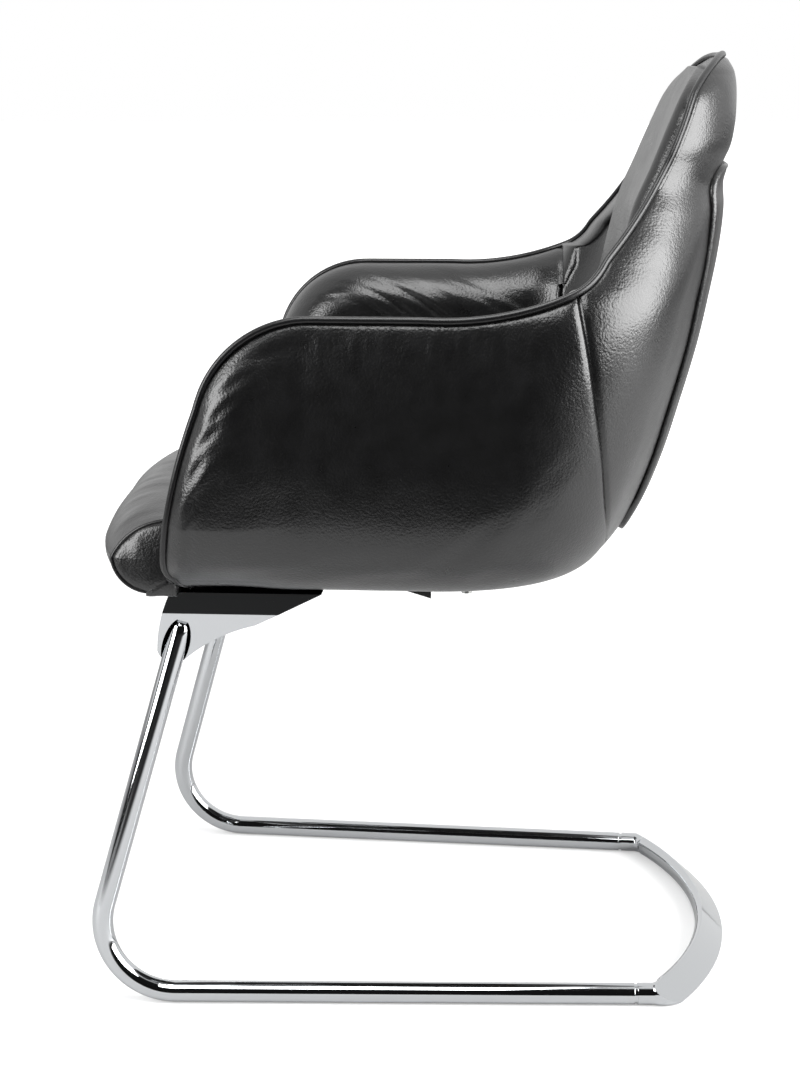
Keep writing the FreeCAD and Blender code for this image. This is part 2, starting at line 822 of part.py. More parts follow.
def side_block(outset, front_cut, rear_cut, floor, left_only=True):
    """The space behind the shell's edge and between two cuts, on one side or both."""
    edges = side_edges(outset)
    first = edges[0].Vertexes[0].Point
    last = edges[-1].Vertexes[-1].Point
    behind = FreeCAD.Vector(0, FAR, last.z)
    below = FreeCAD.Vector(0, FAR, first.z)
    for start, end in ((last, behind), (behind, below), (below, first)):
        edges.append(Part.LineSegment(start, end).toShape())
    face = Part.Face(Part.Wire(edges))
    block = face.extrude(LEFT * FAR)
    if not left_only:
        block = block.fuse(face.extrude(LEFT * -FAR)).removeSplitter()
    limits = Part.makeBox(2 * FAR, rear_cut - front_cut, 2 * FAR,
                          FreeCAD.Vector(-FAR, front_cut, floor))
    return block.common(limits)


def piped(points, diameter):
    """A round cord through the points, as a loft of circles that share each bend."""
    rings = []
    for index, point in enumerate(points):
        before = points[max(index - 1, 0)]
        after = points[min(index + 1, len(points) - 1)]
        rings.append(Part.Wire([Part.makeCircle(diameter / 2, point, after - before)]))
    return Part.makeLoft(rings, True, True)


def flank_block():
    """The space ahead of the leaning side seam, clear of the middle of the seat."""
    height = size("arm_height") + 20
    seam = [(-FAR, 0), (size("seam_foot"), 0), (size("seam_foot"), size("underside_height") + 60),
            (size("seam_top"), height), (size("seam_top"), 2 * FAR), (-FAR, 2 * FAR)]
    points = [FreeCAD.Vector(size("flank_start"), y, z) for y, z in seam]
    return Part.Face(Part.makePolygon(points + points[:1])).extrude(LEFT * FAR)


def edge_points(shell):
    """Points of the shell's left edge, from the arm's foot up to the top."""
    proud = size("piping_proud")
    points = []
    for edge in side_edges(proud)[1:]:
        steps = max(1, round(edge.Length / size("piping_step")))
        for spot in edge.discretize(steps + 1)[1:]:
            if spot.z > size("shell_height") - 4:
                continue
            ray = Part.makeLine(FreeCAD.Vector(0, spot.y, spot.z), FreeCAD.Vector(FAR, spot.y, spot.z))
            reach = max(vertex.Point.x for vertex in shell.common(ray).Vertexes)
            points.append(FreeCAD.Vector(reach + proud, spot.y, spot.z))
    return points


def edge_piping(shell):
    """One welt from arm to arm over the top of the back."""
    left = edge_points(shell)
    last = left[-1]
    top = size("shell_height") + size("piping_proud")
    shoulder = FreeCAD.Vector(last.x - 22, last.y + 6, (last.z + 2 * top) / 3)
    brow = FreeCAD.Vector(last.x - 46, last.y + 10, top)
    middle = FreeCAD.Vector(0, last.y + 13, top)
    left += [shoulder, brow]
    right = [FreeCAD.Vector(-point.x, point.y, point.z) for point in reversed(left)]
    return piped(left + [middle] + right, size("piping_diameter"))


# Seat cushion: sections across the seat, each with a round nose, a crowned top
# and a straight back

def seat_section(across):
    """The cushion's outline at a distance from the middle of the seat."""
    share = abs(across) / size("seat_half_width")
    nose = -size("seat_nose") + size("seat_nose_sweep") * share ** 4
    cap = max(0.0, abs(across) - size("seat_half_width") + size("seat_cap_depth"))
    draw = size("seat_cap_depth") - math.sqrt(max(0.0, size("seat_cap_depth") ** 2 - cap ** 2))
    top = size("seat_edge_height") + size("seat_crown") * (1 - share ** 2) - draw
    bottom = size("underside_height") + 4 + draw
    nose += draw
    waist = bottom + (top - bottom) * 0.48
    rear_y = size("seat_rear")
    rear_top = top - size("seat_rear_drop")

    def spot(y, z):
        return FreeCAD.Vector(across, y, z)

    return Part.Wire([
        Part.LineSegment(spot(rear_y, bottom), spot(nose + 30, bottom)).toShape(),
        Part.Arc(spot(nose + 30, bottom), spot(nose + 8, bottom + 12), spot(nose, waist)).toShape(),
        Part.Arc(spot(nose, waist), spot(nose + 17, top - 13), spot(nose + 62, top)).toShape(),
        Part.Arc(spot(nose + 62, top), spot((nose + 62 + rear_y) / 2 - 40, top + 2),
                 spot(rear_y, rear_top)).toShape(),
        Part.LineSegment(spot(rear_y, rear_top), spot(rear_y, bottom)).toShape(),
    ])


def seat_blank():
    half = size("seat_half_width")
    cap = size("seat_cap_depth")
    welt = half - cap
    left = [welt * 0.3, welt * 0.6, welt * 0.84, welt, half - cap * 0.45, half - cap * 0.1, half]
    stations = [-across for across in reversed(left)] + [0.0] + left
    return Part.makeLoft([seat_section(across) for across in stations], True, True)


def seat_welt():
    """A welt that lies round the nose, where the top leather meets the end cap."""
    across = size("seat_half_width") - size("seat_cap_depth")
    wire = seat_section(across)
    low, high = wire.Edges[1], wire.Edges[2]
    points = low.discretize(4) + high.discretize(5)[1:]
    lift = size("seat_welt_diameter") / 2 + size("seat_welt_gap")
    middle = FreeCAD.Vector(across, points[0].y + 30, (points[0].z + points[-1].z) / 2)
    points = [point - (middle - point).normalize() * lift for point in points]
    return piped(points, size("seat_welt_diameter"))


# Raised pad on the inner back: level sections with a hollow front and round edges

def pad_section(height, half_width, rear_reach, rise):
    curve = size("rear_radius")
    edge_y = rear_reach - half_width ** 2 / (2 * curve)
    front_y = rear_reach - rise
    edge_front = edge_y - rise
    round_edge = min(size("pad_edge"), rise)
    behind = rear_reach + 10

    def spot(x, y):
        return FreeCAD.Vector(x, y, height)

    def edge_arc(side):
        return [spot(side * half_width, edge_front + round_edge),
                spot(side * (half_width - round_edge * 0.3), edge_front + round_edge * 0.3),
                spot(side * (half_width - round_edge), edge_front)]

    right = edge_arc(1)
    left = edge_arc(-1)
    return Part.Wire([
        Part.LineSegment(spot(-half_width, behind), spot(half_width, behind)).toShape(),
        Part.LineSegment(spot(half_width, behind), right[0]).toShape(),
        Part.Arc(*right).toShape(),
        Part.Arc(right[2], spot(0, front_y), left[2]).toShape(),
        Part.Arc(left[2], left[1], left[0]).toShape(),
        Part.LineSegment(left[0], spot(-half_width, behind)).toShape(),
    ])


def back_pad_blank():
    arm = size("arm_height")
    top = size("shell_height")
    half = size("pad_half_width")
    rise = size("pad_height")
    back = size("shell_rear") - size("back_thickness")
    stations = [
        (arm - 200, half + 30, back - 64, rise), (arm - 110, half + 36, back - 43, rise),
        (arm - 30, half + 32, back - 25, rise), (arm + 44, half + 14, back - 7, rise),
        (arm + 84, half + 2, back + 2, rise), (top - 103, half - 5, back + 15, rise),
        (top - 63, half - 14, back + 30, rise), (top - 38, half - 22, back + 40, rise),
        (top - 20, half - 38, back + 47, rise - 3), (top - 9, half - 66, back + 51, rise - 7),
    ]
    return Part.makeLoft([pad_section(*station) for station in stations], True, True)


# Applied cover on the back: a thin slab with a round top, following the shell

def cover_outline():
    half = size("cover_half_width")
    narrow = half - 32
    top = size("cover_top")
    bottom = size("cover_bottom")
    top_round = 45
    low_round = 30

    def spot(x, z):
        return FreeCAD.Vector(x, 0, z)

    def side(way):
        return [spot(way * (narrow - low_round), bottom), spot(way * (narrow - 7), bottom + 9),
                spot(way * narrow, bottom + low_round), spot(way * half, top - top_round),
                spot(way * (half - 11), top - 12), spot(way * (half - top_round), top)]

    right = side(1)
    left = side(-1)
    return Part.Wire([
        Part.LineSegment(left[0], right[0]).toShape(),
        Part.Arc(right[0], right[1], right[2]).toShape(),
        Part.LineSegment(right[2], right[3]).toShape(),
        Part.Arc(right[3], right[4], right[5]).toShape(),
        Part.Arc(right[5], spot(0, top + 4), left[5]).toShape(),
        Part.Arc(left[5], left[4], left[3]).toShape(),
        Part.LineSegment(left[3], left[2]).toShape(),
        Part.Arc(left[2], left[1], left[0]).toShape(),
    ])


def mirrored(shape):
    return shape.mirror(FreeCAD.Vector(0, 0, 0), LEFT)


def without(shape, tools):
    """Cuts the tools away one after another and keeps the largest solid."""
    for tool in tools:
        shape = shape.cut(tool)
    return max(shape.Solids, key=lambda solid: solid.Volume)


def upholstery():
    """Every layer of the bucket, cut from three nested shells and a cavity."""
    shell = shell_solid(0.0)
    core = shell_solid(size("skin_thickness"))
    inner = shell_solid(size("skin_thickness") + size("frame_thickness"))
    cavity = cavity_solid()
    board_top = size("underside_height") + size("dust_cover_thickness") + size("board_thickness")
    margin = -size("frame_margin")
    skin = shell.cut(core)
    layer = core.cut(inner)
    lining = core.cut(cavity)

    side_panel = skin.common(side_block(0.0, -FAR, FAR, 0)).common(flank_block())
    bolt_foot = FreeCAD.Vector(size("plate_half_spread"), size("plate_setback"), 0)
    side_panel = side_panel.cut(Part.makeCylinder(size("plate_bolt_diameter") / 2, FAR, bolt_foot))
    both_panels = [side_panel, mirrored(side_panel)]
    back_skin = without(skin.common(side_block(0.0, -FAR, FAR, 0, False)), both_panels)
    flank = Part.makeBox(FAR, 2 * FAR, 2 * FAR, FreeCAD.Vector(size("flank_start"), -FAR, 0))
    arm_frame = layer.common(side_block(margin, -FAR, size("seam_top"), board_top)).common(flank)
    both_frames = [arm_frame, mirrored(arm_frame)]
    back_board = without(layer.common(side_block(margin, -FAR, FAR, board_top, False)), both_frames)
    arm_pad = lining.common(side_block(size("arm_crown"), -FAR, size("inner_seam"), board_top))
    arm_pad = without(arm_pad.common(flank), both_frames[:1])
    back_lining = lining.common(side_block(0.0, -FAR, FAR, board_top, False))
    back_lining = without(back_lining, both_frames + [back_board, arm_pad, mirrored(arm_pad)])

    mirrored_pair(form("side_panel", side_panel), "side_panel")
    mirrored_pair(form("arm_frame", arm_frame), "arm_frame")
    mirrored_pair(form("arm_pad", arm_pad), "arm_pad")
    node(form("back_skin", back_skin), "back_skin")
    node(form("back_board", back_board), "back_board")
    node(form("back_lining", back_lining), "back_lining")
    node(form("edge_piping", edge_piping(shell)), "edge_piping")

    slab = shell_solid(-size("cover_thickness")).cut(shell)
    window = Part.Face(cover_outline()).extrude(FreeCAD.Vector(0, FAR, 0))
    node(form("back_cover", slab.common(window)), "back_cover")

    core_form = form("shell_core", core)
    node(common("seat_board_trimmed", seat_board(), core_form), "seat_board")
    node(common("dust_cover_trimmed", dust_cover(), core_form), "dust_cover")

    welt = seat_welt()
    seat = seat_cushion(cavity, board_top)
    node(form("seat_cushion", seat), "seat_cushion")
    mirrored_pair(form("seat_welt", welt), "seat_welt")
    back_pad = without(back_pad_blank().common(cavity), [seat])
    node(form("back_cushion", back_pad), "back_cushion")


def seat_cushion(cavity, board_top):
    """The crowned cushion: its nose hangs over the board, the rest fills the bucket."""
    blank = seat_blank()
    board_edge = -size("board_front")
    arm_edge = -size("arm_front") - size("arm_crown")
    nose = blank.common(box_between(-FAR, board_edge, 0))
    lip = blank.common(box_between(board_edge, arm_edge, board_top))
    well = blank.common(box_between(arm_edge, FAR, board_top)).common(cavity)
    return nose.fuse([lip, well]).removeSplitter()


def box_between(front_y, rear_y, floor):
    return Part.makeBox(2 * FAR, rear_y - front_y, FAR * 2, FreeCAD.Vector(-FAR, front_y, floor))


def bolt_pockets(body, radius, depth, level, prefix):
    for index, (x, y) in enumerate(bolt_places()):
        sketch = new_sketch(body, "%s_outline_%d" % (prefix, index), "XY_Plane", level)
        circle(sketch, radius, x, y)
        pocket(body, sketch, depth, "%s_%d" % (prefix, index))


def plate_pockets(body, radius, depth, level, prefix):
    for side in (1, -1):
        sketch = new_sketch(body, "%s_outline_%s" % (prefix, "left" if side > 0 else "right"),
                            "XY_Plane", level)
        circle(sketch, radius, cell("plate_half_spread") * side, cell("plate_setback"))
        pocket(body, sketch, depth, "%s_%s" % (prefix, "left" if side > 0 else "right"))


def sheet_body(name, level, thickness):
    """A flat sheet with the seat board's outline."""
    body = new_body(name)
    sketch = new_sketch(body, name + "_outline", "XY_Plane", level)
    half = cell("board_half_width")
    lead = -cell("board_front")
    outline(sketch, [(-half, lead), (half, lead), (half, cell("seat_rear")), (-half, cell("seat_rear"))])
    pad(body, sketch, thickness, name + "_pad")
    return body


def seat_board():
    level = underside + cell("dust_cover_thickness")
    thickness = cell("board_thickness")
    body = sheet_body("seat_board_blank", level, thickness)
    bolt_pockets(body, cell("tee_nut_barrel") / 2, thickness + 1, level + thickness, "nut_hole")
    bolt_pockets(body, cell("tee_nut_flange") / 2, cell("tee_nut_flange_depth"),
                 level + thickness, "nut_recess")
    plate_pockets(body, cell("plate_bolt_diameter") / 2, thickness + 1, level + thickness, "plate_hole")
    return body


def dust_cover():
    thickness = cell("dust_cover_thickness")
    body = sheet_body("dust_cover_blank", underside, thickness)
    bolt_pockets(body, cell("bolt_diameter") / 2, thickness + 1, underside + thickness, "bolt_slot")
    plate_pockets(body, cell("plate_bolt_diameter") / 2, thickness + 1,
                  underside + thickness, "plate_slot")
    return body


# Small fittings under the seat

def fixing_plate():
    body = new_body("fixing_plate")
    sketch = new_sketch(body, "plate_outline", "XY_Plane", underside - cell("plate_thickness"))
    x = cell("plate_half_spread")
    y = cell("plate_setback")
    half_x = cell("plate_width") / 2
    half_y = cell("plate_length") / 2
    outline(sketch, [(x - half_x, y - half_y), (x + half_x, y - half_y),
                     (x + half_x, y + half_y), (x - half_x, y + half_y)])
    circle(sketch, cell("plate_bolt_diameter") / 2, x, y)
    pad(body, sketch, cell("plate_thickness"), "plate")
    mirrored_pair(body, "fixing_plate")


def fixing_bolts():
    bolts = []
    head = size("plate_bolt_head")
    for side in (1, -1):
        base = FreeCAD.Vector(side * size("plate_half_spread"), size("plate_setback"),
                              underside.number - size("plate_thickness") - head)
        length = size("plate_thickness") + size("dust_cover_thickness") + size("board_thickness") - 2
        bolts.append(socket_bolt(base, size("plate_bolt_diameter"), length,
                                 size("plate_bolt_diameter") * 1.6, head))
    node(form("fixing_bolts", Part.makeCompound(bolts)), "fixing_bolts")


def seam_tag():
    """A bare fabric loop sewn into the lower seam of the left side."""
    body = new_body("seam_tag")
    sketch = new_sketch(body, "tag_outline", "YZ_Plane", cell("tag_half_spread"))
    y = -cell("tag_setback")
    half = cell("tag_width") / 2
    outline(sketch, [(y - half, underside - 1), (y - half, underside),
                     (y + half, underside), (y + half, underside - cell("tag_drop"))])
    pad(body, sketch, cell("tag_thickness"), "tag", reverse=True)
    node(body, "seam_tag")


side_tubes()
joint_rings()
joint_spigots()
node(grub_screws(), "grub_screws")
rear_bow()
brackets()
cross_beam()
bracket_bolts()
tee_nuts()
upholstery()
fixing_plate()
fixing_bolts()
seam_tag()
doc.recompute()

# Every object has to be sound before a file is written

for item in doc.Objects:
    if "Invalid" in item.State or "Error" in item.State:
        raise RuntimeError("%s failed: %s" % (item.Name, item.State))
for item in nodes:
    if item.Shape.isNull() or not item.Shape.isValid() or not item.Shape.Solids:
        raise RuntimeError("%s has no sound solid" % item.Label)

os.makedirs("parts", exist_ok=True)
for item in nodes:
    item.Shape.exportStep("parts/%s.step" % item.Label)
print("%d pieces written" % len(nodes))
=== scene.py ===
# %% [markdown]
# # A cantilever lounge chair
# The frame holds the chair's pieces at their real size, in metres: +Z is up, the sitter
# faces -Y, and +X is the sitter's left. Everything below gives those pieces their looks.

# %% The frame
import json
import math

import bmesh
import bpy
import numpy as np
from mathutils import Matrix, Vector

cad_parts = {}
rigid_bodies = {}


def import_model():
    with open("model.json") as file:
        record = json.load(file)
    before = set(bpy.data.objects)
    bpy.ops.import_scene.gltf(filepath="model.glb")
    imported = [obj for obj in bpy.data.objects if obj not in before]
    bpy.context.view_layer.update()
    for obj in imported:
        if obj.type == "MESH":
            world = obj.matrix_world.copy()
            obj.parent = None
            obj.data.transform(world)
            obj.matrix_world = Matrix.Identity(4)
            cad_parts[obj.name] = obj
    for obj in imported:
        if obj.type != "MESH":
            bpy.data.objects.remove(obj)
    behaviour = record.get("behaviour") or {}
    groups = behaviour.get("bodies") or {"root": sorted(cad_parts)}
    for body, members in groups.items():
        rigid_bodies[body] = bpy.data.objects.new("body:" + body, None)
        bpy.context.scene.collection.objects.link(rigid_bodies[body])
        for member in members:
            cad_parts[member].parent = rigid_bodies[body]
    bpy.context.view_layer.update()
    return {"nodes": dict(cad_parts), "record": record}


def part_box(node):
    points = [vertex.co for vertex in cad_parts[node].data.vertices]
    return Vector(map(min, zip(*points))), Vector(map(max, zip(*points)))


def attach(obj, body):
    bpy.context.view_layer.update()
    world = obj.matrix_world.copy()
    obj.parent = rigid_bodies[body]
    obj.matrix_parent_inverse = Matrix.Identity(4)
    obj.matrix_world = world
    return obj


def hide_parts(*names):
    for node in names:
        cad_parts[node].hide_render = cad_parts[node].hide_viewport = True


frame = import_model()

print("the frame holds", len(frame["nodes"]), "named pieces")

# %% [markdown]
# ## Small tools
# A surface is a grid of points, worked out by a formula. Each tool below does one thing:
# turn a grid into a mesh, find the way out of a grid, or measure how far its border is.

# %% Grids and meshes
MM = 0.001


def mesh_of(name, grid, outward=1, wrap=False, crease_angle=None):
    """A mesh from a grid of points. wrap joins the last column to the first."""
    rows, columns = grid.shape[:2]
    index = np.arange(rows * columns).reshape(rows, columns)
    if wrap:
        index = np.hstack([index, index[:, :1]])
    quads = np.stack([index[:-1, :-1], index[:-1, 1:], index[1:, 1:], index[1:, :-1]], axis=-1)
    quads = quads.reshape(-1, 4)
    if outward < 0:
        quads = quads[:, ::-1]
    mesh = bpy.data.meshes.new(name)
    mesh.from_pydata(grid.reshape(-1, 3).tolist(), [], quads.tolist())
    tidy = bmesh.new()
    tidy.from_mesh(mesh)
    bmesh.ops.remove_doubles(tidy, verts=tidy.verts, dist=0.02 * MM)
    bmesh.ops.dissolve_degenerate(tidy, edges=tidy.edges, dist=0.02 * MM)
    if wrap:
        bmesh.ops.recalc_face_normals(tidy, faces=tidy.faces)
    tidy.to_mesh(mesh)
    tidy.free()
    mesh.shade_smooth()
    if crease_angle:
        mesh.set_sharp_from_angle(angle=math.radians(crease_angle))
    piece = bpy.data.objects.new(name, mesh)
    bpy.context.collection.objects.link(piece)
    return piece


def mirrored(grid):
    return grid * np.array([-1.0, 1.0, 1.0])


def ways_out(grid, outward=1):
    """The unit normal at every point of a grid, from its neighbours."""
    along = np.gradient(grid, axis=0)
    across = np.gradient(grid, axis=1)
    normal = np.cross(across, along) * outward
    length = np.linalg.norm(normal, axis=-1, keepdims=True)
    return normal / np.maximum(length, 1e-12)


def lengths(grid, axis):
    """The distance run along the grid's lines, from its first row or column."""
    steps = np.linalg.norm(np.diff(grid, axis=axis), axis=-1)
    start = np.zeros_like(np.take(steps, [0], axis=axis))
    return np.cumsum(np.concatenate([start, steps], axis=axis), axis=axis)


def border_distance(grid, borders):
    """How far each point is from the nearest of the borders named."""
    down = lengths(grid, 0)
    over = lengths(grid, 1)
    reach = {"first_row": down, "last_row": down[-1:] - down,
             "first_column": over, "last_column": over[:, -1:] - over}
    return np.minimum.reduce([reach[border] for border in borders])


def smooth(knots, values, at):
    """A smooth curve through the values given at the knots."""
    slopes = np.gradient(values, knots, axis=0)
    at = np.asarray(at, dtype=float)
    left = np.clip(np.searchsorted(knots, at) - 1, 0, len(knots) - 2)
    width = knots[left + 1] - knots[left]
    part = (at - knots[left]) / width
    if values.ndim > 1:
        part, width = part[..., None], width[..., None]
    return ((1 + 2 * part) * (1 - part) ** 2 * values[left]
            + part * (1 - part) ** 2 * width * slopes[left]
            + part ** 2 * (3 - 2 * part) * values[left + 1]
            + part ** 2 * (part - 1) * width * slopes[left + 1])


def even_points(line, count):
    """Points evenly spaced along a line of points."""
    steps = np.linalg.norm(np.diff(line, axis=0), axis=1)
    run = np.concatenate([[0.0], np.cumsum(steps)])
    at = np.linspace(0, run[-1], count)
    return np.stack([np.interp(at, run, line[:, axis]) for axis in range(line.shape[1])], axis=1)


def arc_points(start, middle, end, count=24):
    """Points of the circle's arc through three points of a plane."""
    a, b, c = (np.array(point, dtype=float) for point in (start, middle, end))
    matrix = 2 * np.array([b - a, c - a])
    centre = np.linalg.solve(matrix, np.array([b @ b - a @ a, c @ c - a @ a]))
    angles = [math.atan2(*(point - centre)[::-1]) for point in (a, b, c)]
    for index in (1, 2):
        while angles[index] - angles[index - 1] > math.pi:
            angles[index] -= 2 * math.pi
        while angles[index] - angles[index - 1] < -math.pi:
            angles[index] += 2 * math.pi
    turn = np.linspace(angles[0], angles[2], count)
    radius = np.linalg.norm(a - centre)
    return centre + radius * np.stack([np.cos(turn), np.sin(turn)], axis=1)


def soft_noise(a, b, seed):
    """A smooth random field of two coordinates, between -1 and 1."""
    size = 64
    field = np.random.default_rng(seed).uniform(-1, 1, (size, size))
    low_a, low_b = np.floor(a).astype(int), np.floor(b).astype(int)
    part_a, part_b = a - low_a, b - low_b
    part_a, part_b = part_a ** 2 * (3 - 2 * part_a), part_b ** 2 * (3 - 2 * part_b)

    def corner(step_a, step_b):
        return field[(low_a + step_a) % size, (low_b + step_b) % size]

    low = corner(0, 0) * (1 - part_a) + corner(1, 0) * part_a
    high = corner(0, 1) * (1 - part_a) + corner(1, 1) * part_a
    return low * (1 - part_b) + high * part_b


def tube_grid(line, radius, sides=24):
    """Rings round a line of points that don't twist, closed to a point at both ends."""
    ahead = np.gradient(line, axis=0)
    ahead /= np.linalg.norm(ahead, axis=1, keepdims=True)
    side = np.cross(ahead[0], [0.3, 0.2, 0.9])
    carried = []
    for way in ahead:
        side = side - way * (side @ way)
        side = side / np.linalg.norm(side)
        carried.append(side)
    side = np.array(carried)[:, None]
    up = np.cross(ahead[:, None], side)
    turn = np.linspace(0, 2 * math.pi, sides, endpoint=False)[None, :, None]
    rings = line[:, None] + radius * (np.cos(turn) * side + np.sin(turn) * up)
    first, last = (np.repeat(end[None, None], sides, axis=1) for end in (line[0], line[-1]))
    return np.concatenate([first, rings, last])


def measured(piece):
    """Prints what a piece is made of and how large it is, and hands it on."""
    low, high = np.array(piece.bound_box)[[0, 6]]
    spans = " x ".join("%.0f" % (span / MM) for span in high - low)
    print("%s: %d points, %s mm" % (piece.name, len(piece.data.vertices), spans))
    return piece


# %% [markdown]
# ## The bucket
# The outer shell is a stack of level sections. Each one has straight sides, a round corner
# on each side and a shallow arc across the rear. The space inside it is built the same way.

# %% The bucket's sections
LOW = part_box("back_skin")[0].z
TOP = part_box("back_skin")[1].z
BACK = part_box("back_skin")[1].y
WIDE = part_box("side_panel_left")[1].x
ARM = 0.656
REAR_RADIUS = 0.700
SECTION_FRONT = 0.330
PLAN_TAPER = 0.008
ARM_THICKNESS = 0.057
BACK_THICKNESS = 0.072


class Bucket:
    """Level sections, smoothly joined. v runs from 0 at the foot to 1 at the top."""

    def __init__(self, stations, corner):
        self.table = np.array(stations)
        self.corner = corner
        steps = np.linalg.norm(np.diff(self.table, axis=0), axis=1)
        self.knots = np.concatenate([[0.0], np.cumsum(steps)]) / steps.sum()
        self.fine = np.linspace(0, 1, 2001)
        self.heights = np.maximum.accumulate(smooth(self.knots, self.table, self.fine)[:, 0])

    def at_height(self, height):
        return np.interp(height, self.heights, self.fine)

    def level(self, v):
        """Height, and the corner, centre, turning point and lean of the section."""
        height, half, rear = np.moveaxis(smooth(self.knots, self.table, v), -1, 0)
        corner = np.minimum(self.corner, 0.7 * half)
        centre = rear - REAR_RADIUS
        turn_x = half - corner
        turn_y = centre + np.sqrt((REAR_RADIUS - corner) ** 2 - turn_x ** 2)
        lean = np.arctan2(turn_y - centre, turn_x)
        return height, half, corner, centre, turn_x, turn_y, lean

    def reach(self, v, y):
        """The way round the section from the middle of the back to that y."""
        _, _, corner, centre, turn_x, turn_y, lean = self.level(v)
        rear_arc = REAR_RADIUS * (math.pi / 2 - lean)
        sine = np.clip((y - turn_y) / corner, 0, 1)
        in_corner = rear_arc + corner * (lean - np.arcsin(sine))
        cosine = np.clip((y - centre) / REAR_RADIUS, -1, 1)
        in_rear = REAR_RADIUS * np.arccos(cosine)
        on_side = rear_arc + corner * lean + (turn_y - y)
        reach = np.where(y > turn_y + corner * np.sin(lean), in_rear, in_corner)
        return np.where(y < turn_y, on_side, reach)

    def point(self, v, reach):
        """The point that lies that far round the section, left of the middle if above 0."""
        height, half, corner, centre, turn_x, turn_y, lean = self.level(v)
        side = np.where(reach < 0, -1.0, 1.0)
        reach = np.abs(reach)
        rear_arc = REAR_RADIUS * (math.pi / 2 - lean)
        turn = reach / REAR_RADIUS
        x = REAR_RADIUS * np.sin(turn)
        y = centre + REAR_RADIUS * np.cos(turn)
        angle = lean - (reach - rear_arc) / corner
        past_rear = reach > rear_arc
        x = np.where(past_rear, turn_x + corner * np.cos(angle), x)
        y = np.where(past_rear, turn_y + corner * np.sin(angle), y)
        past_corner = reach > rear_arc + corner * lean
        ahead = reach - rear_arc - corner * lean
        x = np.where(past_corner, half - PLAN_TAPER * ahead / (turn_y + SECTION_FRONT), x)
        y = np.where(past_corner, turn_y - ahead, y)
        return np.stack([side * x, y, height + 0 * x], axis=-1)

    def on_side(self, y, height):
        """The left point of the surface at that y and height."""
        v = self.at_height(height)
        return self.point(v, self.reach(v, y))


def offsets(rows, height, width, rear):
    """Stations written as distances from a level, the half width and the rear."""
    return [(height + up * MM, width - narrow * MM, rear - ahead * MM) for up, narrow, ahead in rows]


shell = Bucket(
    offsets([(0, 120, 183), (5, 92, 154), (13, 66, 130), (26, 45, 112), (44, 27, 97), (72, 13, 81),
             (112, 4, 65), (162, 0, 50)], LOW, WIDE, BACK)
    + offsets([(-36, 0, 34), (4, 6, 26), (44, 33, 19), (84, 63, 15)], ARM, WIDE, BACK)
    + offsets([(-108, 81, 15), (-94, 87, 10), (-80, 91, 4), (-63, 98, 1), (-40, 107, 0),
               (-16, 132, 2), (-5, 162, 7), (0, 200, 11)], TOP, WIDE, BACK), 0.120)
IN_WIDE = WIDE - ARM_THICKNESS
IN_BACK = BACK - BACK_THICKNESS
cavity = Bucket(
    offsets([(0, 50, 120), (16, 26, 90), (34, 12, 74), (64, 4, 64), (107, 1, 54), (162, 0, 41)],
            LOW, IN_WIDE, IN_BACK)
    + offsets([(-36, 0, 27), (4, 0, 15), (44, 4, 7), (84, 14, -2)], ARM, IN_WIDE, IN_BACK)
    + offsets([(-103, 24, -15), (-63, 32, -30), (-38, 40, -40), (2, 52, -56)],
              TOP, IN_WIDE, IN_BACK), 0.070)
print("sections:", len(shell.table), "outside and", len(cavity.table), "inside")

# %% [markdown]
# Seen from the side, the bucket's edge climbs the front of the arm, runs along its top and
# sweeps up the back. A leaning seam divides the side panel from the back.

# %% The edge and the seam
ARM_FRONT = -0.222
SEAM_TOP_Y = 0.139
INNER_SEAM_Y = 0.134
SEAM_FOOT_Y = 0.172
SEAM_FOOT_Z = LOW + 0.060
SEAM_BOW = 0.004
SEAM_UNDER_REACH = 0.155


def edge_line():
    """Points y, z of the edge, from the arm's foot to the top of the back."""
    face, arm, top = ARM_FRONT, ARM, TOP
    foot = np.array([[face + 0.017, LOW], [face, LOW + 0.029]])
    front = arc_points(foot[1], (face + 0.015, LOW + 0.107), (face + 0.039, arm - 0.076))
    corner = arc_points(front[-1], (face + 0.071, arm - 0.024), (face + 0.132, arm))
    sweep = arc_points((0.010, arm), (0.082, arm + 0.005), (0.135, arm + 0.021))
    turn = arc_points(sweep[-1], (0.151, arm + 0.031), (0.163, arm + 0.048))
    rise = arc_points(turn[-1], (0.203, top - 0.118), (0.238, top - 0.037))
    crest = arc_points(rise[-1], (0.253, top - 0.015), (0.279, top + 0.006))
    line = np.concatenate([even_points(foot, 12), front[1:], corner[1:], sweep, turn[1:],
                           rise[1:], crest[1:]])
    return eased(even_points(line, 460), 5)


def eased(line, reach):
    """The line with its kinks rounded over a few neighbours, and its ends kept."""
    weights = np.hanning(2 * reach + 3)[1:-1]
    padded = np.pad(line, ((reach, reach), (0, 0)), mode="reflect", reflect_type="odd")
    columns = [np.convolve(padded[:, axis], weights / weights.sum(), "valid") for axis in range(2)]
    return np.stack(columns, axis=1)


edge = edge_line()
arm_edge = edge[edge[:, 0] <= SEAM_TOP_Y]
back_edge = edge[edge[:, 0] >= SEAM_TOP_Y]
print("seen from the side, the edge runs %.0f mm" % (lengths(edge, 0)[-1] / MM))


def seam_y(v):
    """Where the leaning seam lies at each level of the shell."""
    height = shell.level(v)[0]
    top = arm_edge[-1, 1]
    share = (height - SEAM_FOOT_Z) / (top - SEAM_FOOT_Z)
    bow = SEAM_BOW * 4 * share * (1 - share) * (share > 0)
    line = SEAM_FOOT_Y + (SEAM_TOP_Y - SEAM_FOOT_Y) * np.maximum(share, 0) + bow
    under = shell.point(v, SEAM_UNDER_REACH + 0 * height)[..., 1]
    return np.minimum(line, under)


